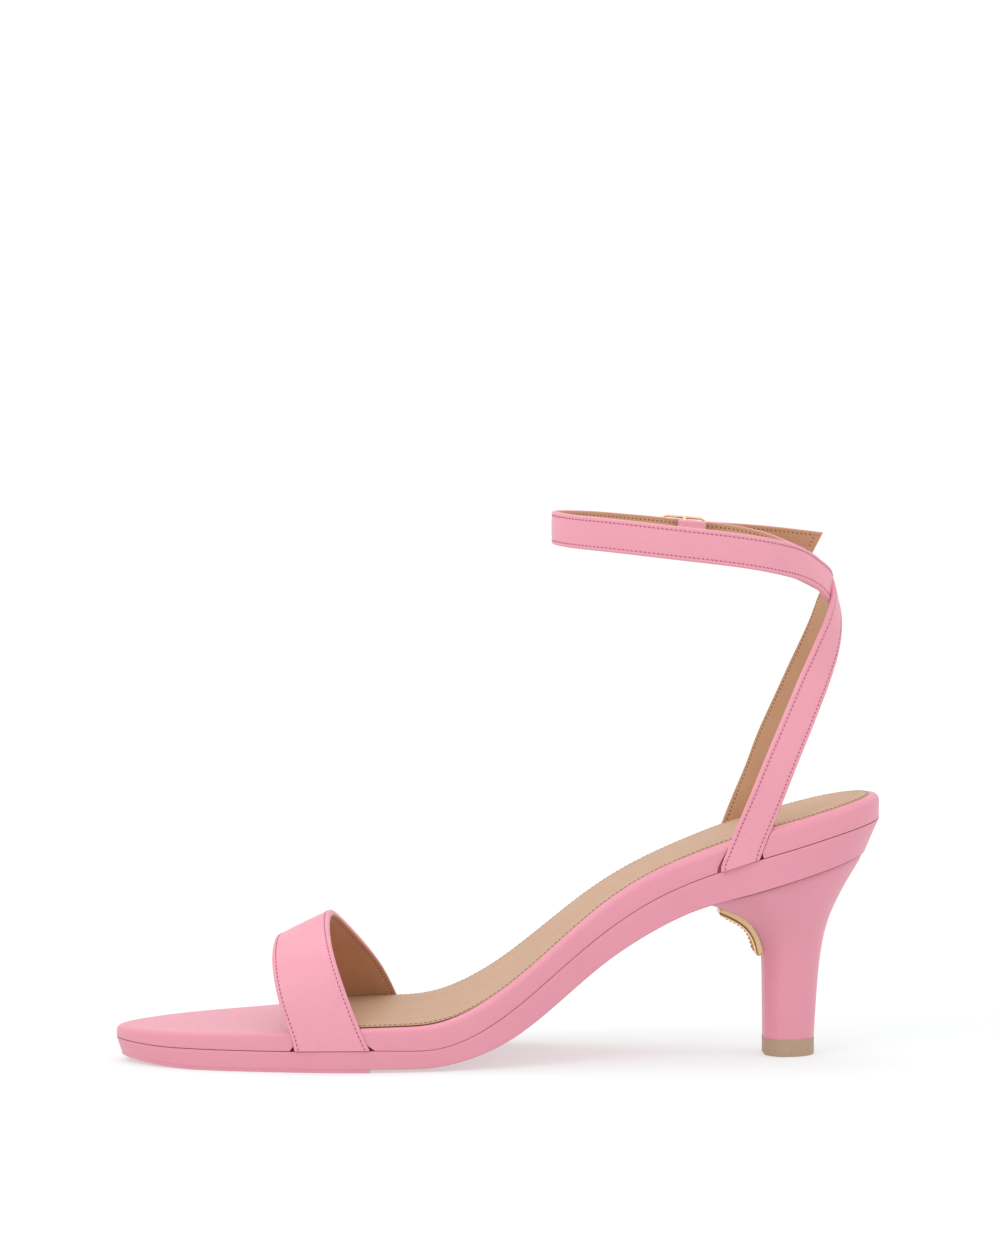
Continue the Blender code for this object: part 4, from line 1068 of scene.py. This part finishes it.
def makePlaque():
    table = heelTable()
    breast = table[(table[:, 1] > plaque["low"]) & (table[:, 0] > plaque["start"])][:, :2]
    breast = evenPath(breast, 0.1)
    run = stepsAlong(breast)
    nose = plaque["nose"]
    rounding = nose * (1.0 - np.cos(np.linspace(0.0, math.pi / 2.0, 9)))
    middle = np.arange(nose + plaque["spacing"], run[-1] - nose, plaque["spacing"])
    places = np.concatenate([rounding, middle, (run[-1] - rounding)[::-1]])
    slope = unit(np.gradient(breast, axis=0))
    out = readLine(np.stack([-slope[:, 1], slope[:, 0]], axis=1), run, places)
    out = out * -np.sign(out[:1, :1])
    breast = readLine(breast, run, places)
    toEnd = np.clip(np.minimum(places, run[-1] - places), 0.0, nose)
    full = np.sqrt(np.clip(1.0 - (1.0 - toEnd / nose) ** 2, 0.0, 1.0))

    side = [(plaque["half"] - inward, high) for inward, high, _ in plaque["wall"]]
    section = side + [(-y, high) for y, high in reversed(side)] + side[:1]
    paintedShade = [row[2] for row in plaque["wall"]]
    paintedShade = np.array(paintedShade + paintedShade[::-1] + paintedShade[:1])
    sunk = np.clip(toEnd / nose * 2.0 - 1.0, 0.0, 1.0)   # the face is sunk only between the noses
    rows = []
    for (x, z), (outX, outZ), share, sink in zip(breast, out, full, sunk):
        row = []
        for y, high in section:
            if abs(y) < plaque["half"] - plaque["rimWide"]:
                high = plaque["beadHigh"] + (high - plaque["beadHigh"]) * sink
            high = closeGap + nose + (high - nose) * share
            row.append((x + outX * high, y, z + outZ * high))
        rows.append(row)
    seat(drawnGrid("giltPlaque", np.array(rows), [gilt], paintedShade=paintedShade), "gilt", "heel_trim")

    bpy.ops.object.select_all(action='DESELECT')
    bpy.ops.mesh.primitive_uv_sphere_add(segments=8, ring_count=6, radius=plaque["beadWide"] / 2.0 * mm)
    bead = bpy.context.object
    away = np.stack([out[:, 0], np.zeros(len(out)), out[:, 1]], axis=1)
    lines = []
    for y in (plaque["beadIn"] - plaque["half"], plaque["half"] - plaque["beadIn"]):
        line = np.stack([breast[:, 0], np.full(len(breast), y), breast[:, 1]], axis=1)
        line = line + away * (closeGap + plaque["beadHigh"])
        lines.append(placesAlong(line, away, plaque["beadPitch"], trim=nose)[0])
    joined = [np.vstack([line[part] for line in lines]) for part in range(3)]
    seat(joinedCopies("plaqueBeads", bead, *joined, giltInShade), "gilt")
    bpy.data.objects.remove(bead, do_unlink=True)


makePlaque()
print("plaque: made with its beads")


# stage

studio = {
    "floorWide": 12.0, "floorColour": (0.42, 0.447, 0.443), "floorRough": 0.9, "floorGloss": 0.1,
    "floorGlow": (0.47, 0.58), "glowReach": (0.3, 1.4),   # by the shoe and far off, and how far that is
    "skyStrength": 1.02,
    "camera": (-0.0965, -1.8465, 0.248), "pitch": 3.6835, "yaw": 3.0046, "lens": 179.1, "sensor": 36.0,
    "clipStart": 0.05, "clipEnd": 50.0,
    "lights": [   # name, place, aim, size, power
        ("key", (-0.9, -1.0, 1.15), (0.0, 0.0, 0.05), 1.0, 7.2),
        ("top", (-0.2, 0.5, 1.7), (0.0, 0.0, 0.0), 1.2, 5.0),
        ("fill", (1.2, -0.4, 0.8), (0.08, 0.0, 0.12), 0.8, 2.0),
    ],
}


def makeStage():
    bpy.ops.object.select_all(action='DESELECT')
    bpy.ops.mesh.primitive_plane_add(size=studio["floorWide"])
    floor = bpy.context.object
    floor.name = "studioFloor"
    finish, tree, shader = newFinish("paleFloor")
    shader.inputs["Base Color"].default_value = studio["floorColour"] + (1.0,)
    shader.inputs["Emission Color"].default_value = (1.0, 1.0, 1.0, 1.0)
    place = tree.nodes.new("ShaderNodeTexCoord")
    away = tree.nodes.new("ShaderNodeVectorMath")
    away.operation = 'LENGTH'
    tree.links.new(place.outputs["Object"], away.inputs[0])
    glow = mapped(tree, away.outputs["Value"], studio["glowReach"], studio["floorGlow"])
    tree.links.new(glow, shader.inputs["Emission Strength"])
    shader.inputs["Roughness"].default_value = studio["floorRough"]
    shader.inputs["Specular IOR Level"].default_value = studio["floorGloss"]
    floor.data.materials.append(finish)

    world = bpy.data.worlds.new("paleStudio")
    world.use_nodes = True
    sky = world.node_tree.nodes["Background"]
    sky.inputs["Color"].default_value = (1.0, 1.0, 1.0, 1.0)
    sky.inputs["Strength"].default_value = studio["skyStrength"]
    scene = bpy.context.scene
    scene.world = world
    scene.view_settings.view_transform = 'Standard'

    for name, place, aim, size, power in studio["lights"]:
        lamp = bpy.data.lights.new(name, 'AREA')
        lamp.shape = 'DISK'
        lamp.size = size
        lamp.energy = power
        holder = bpy.data.objects.new(name, lamp)
        scene.collection.objects.link(holder)
        holder.location = place
        run = unit(np.asarray(aim) - np.asarray(place))
        holder.rotation_euler = (math.acos(-run[2]), 0.0, math.atan2(-run[0], run[1]))

    lens = bpy.data.cameras.new("studioCamera")
    lens.lens = studio["lens"]
    lens.sensor_width = studio["sensor"]
    lens.clip_start = studio["clipStart"]
    lens.clip_end = studio["clipEnd"]
    camera = bpy.data.objects.new("studioCamera", lens)
    scene.collection.objects.link(camera)
    camera.location = studio["camera"]
    camera.rotation_euler = (math.radians(90.0 - studio["pitch"]), 0.0, math.radians(-studio["yaw"]))
    scene.camera = camera


makeStage()
print("stage: floor, light and camera set")
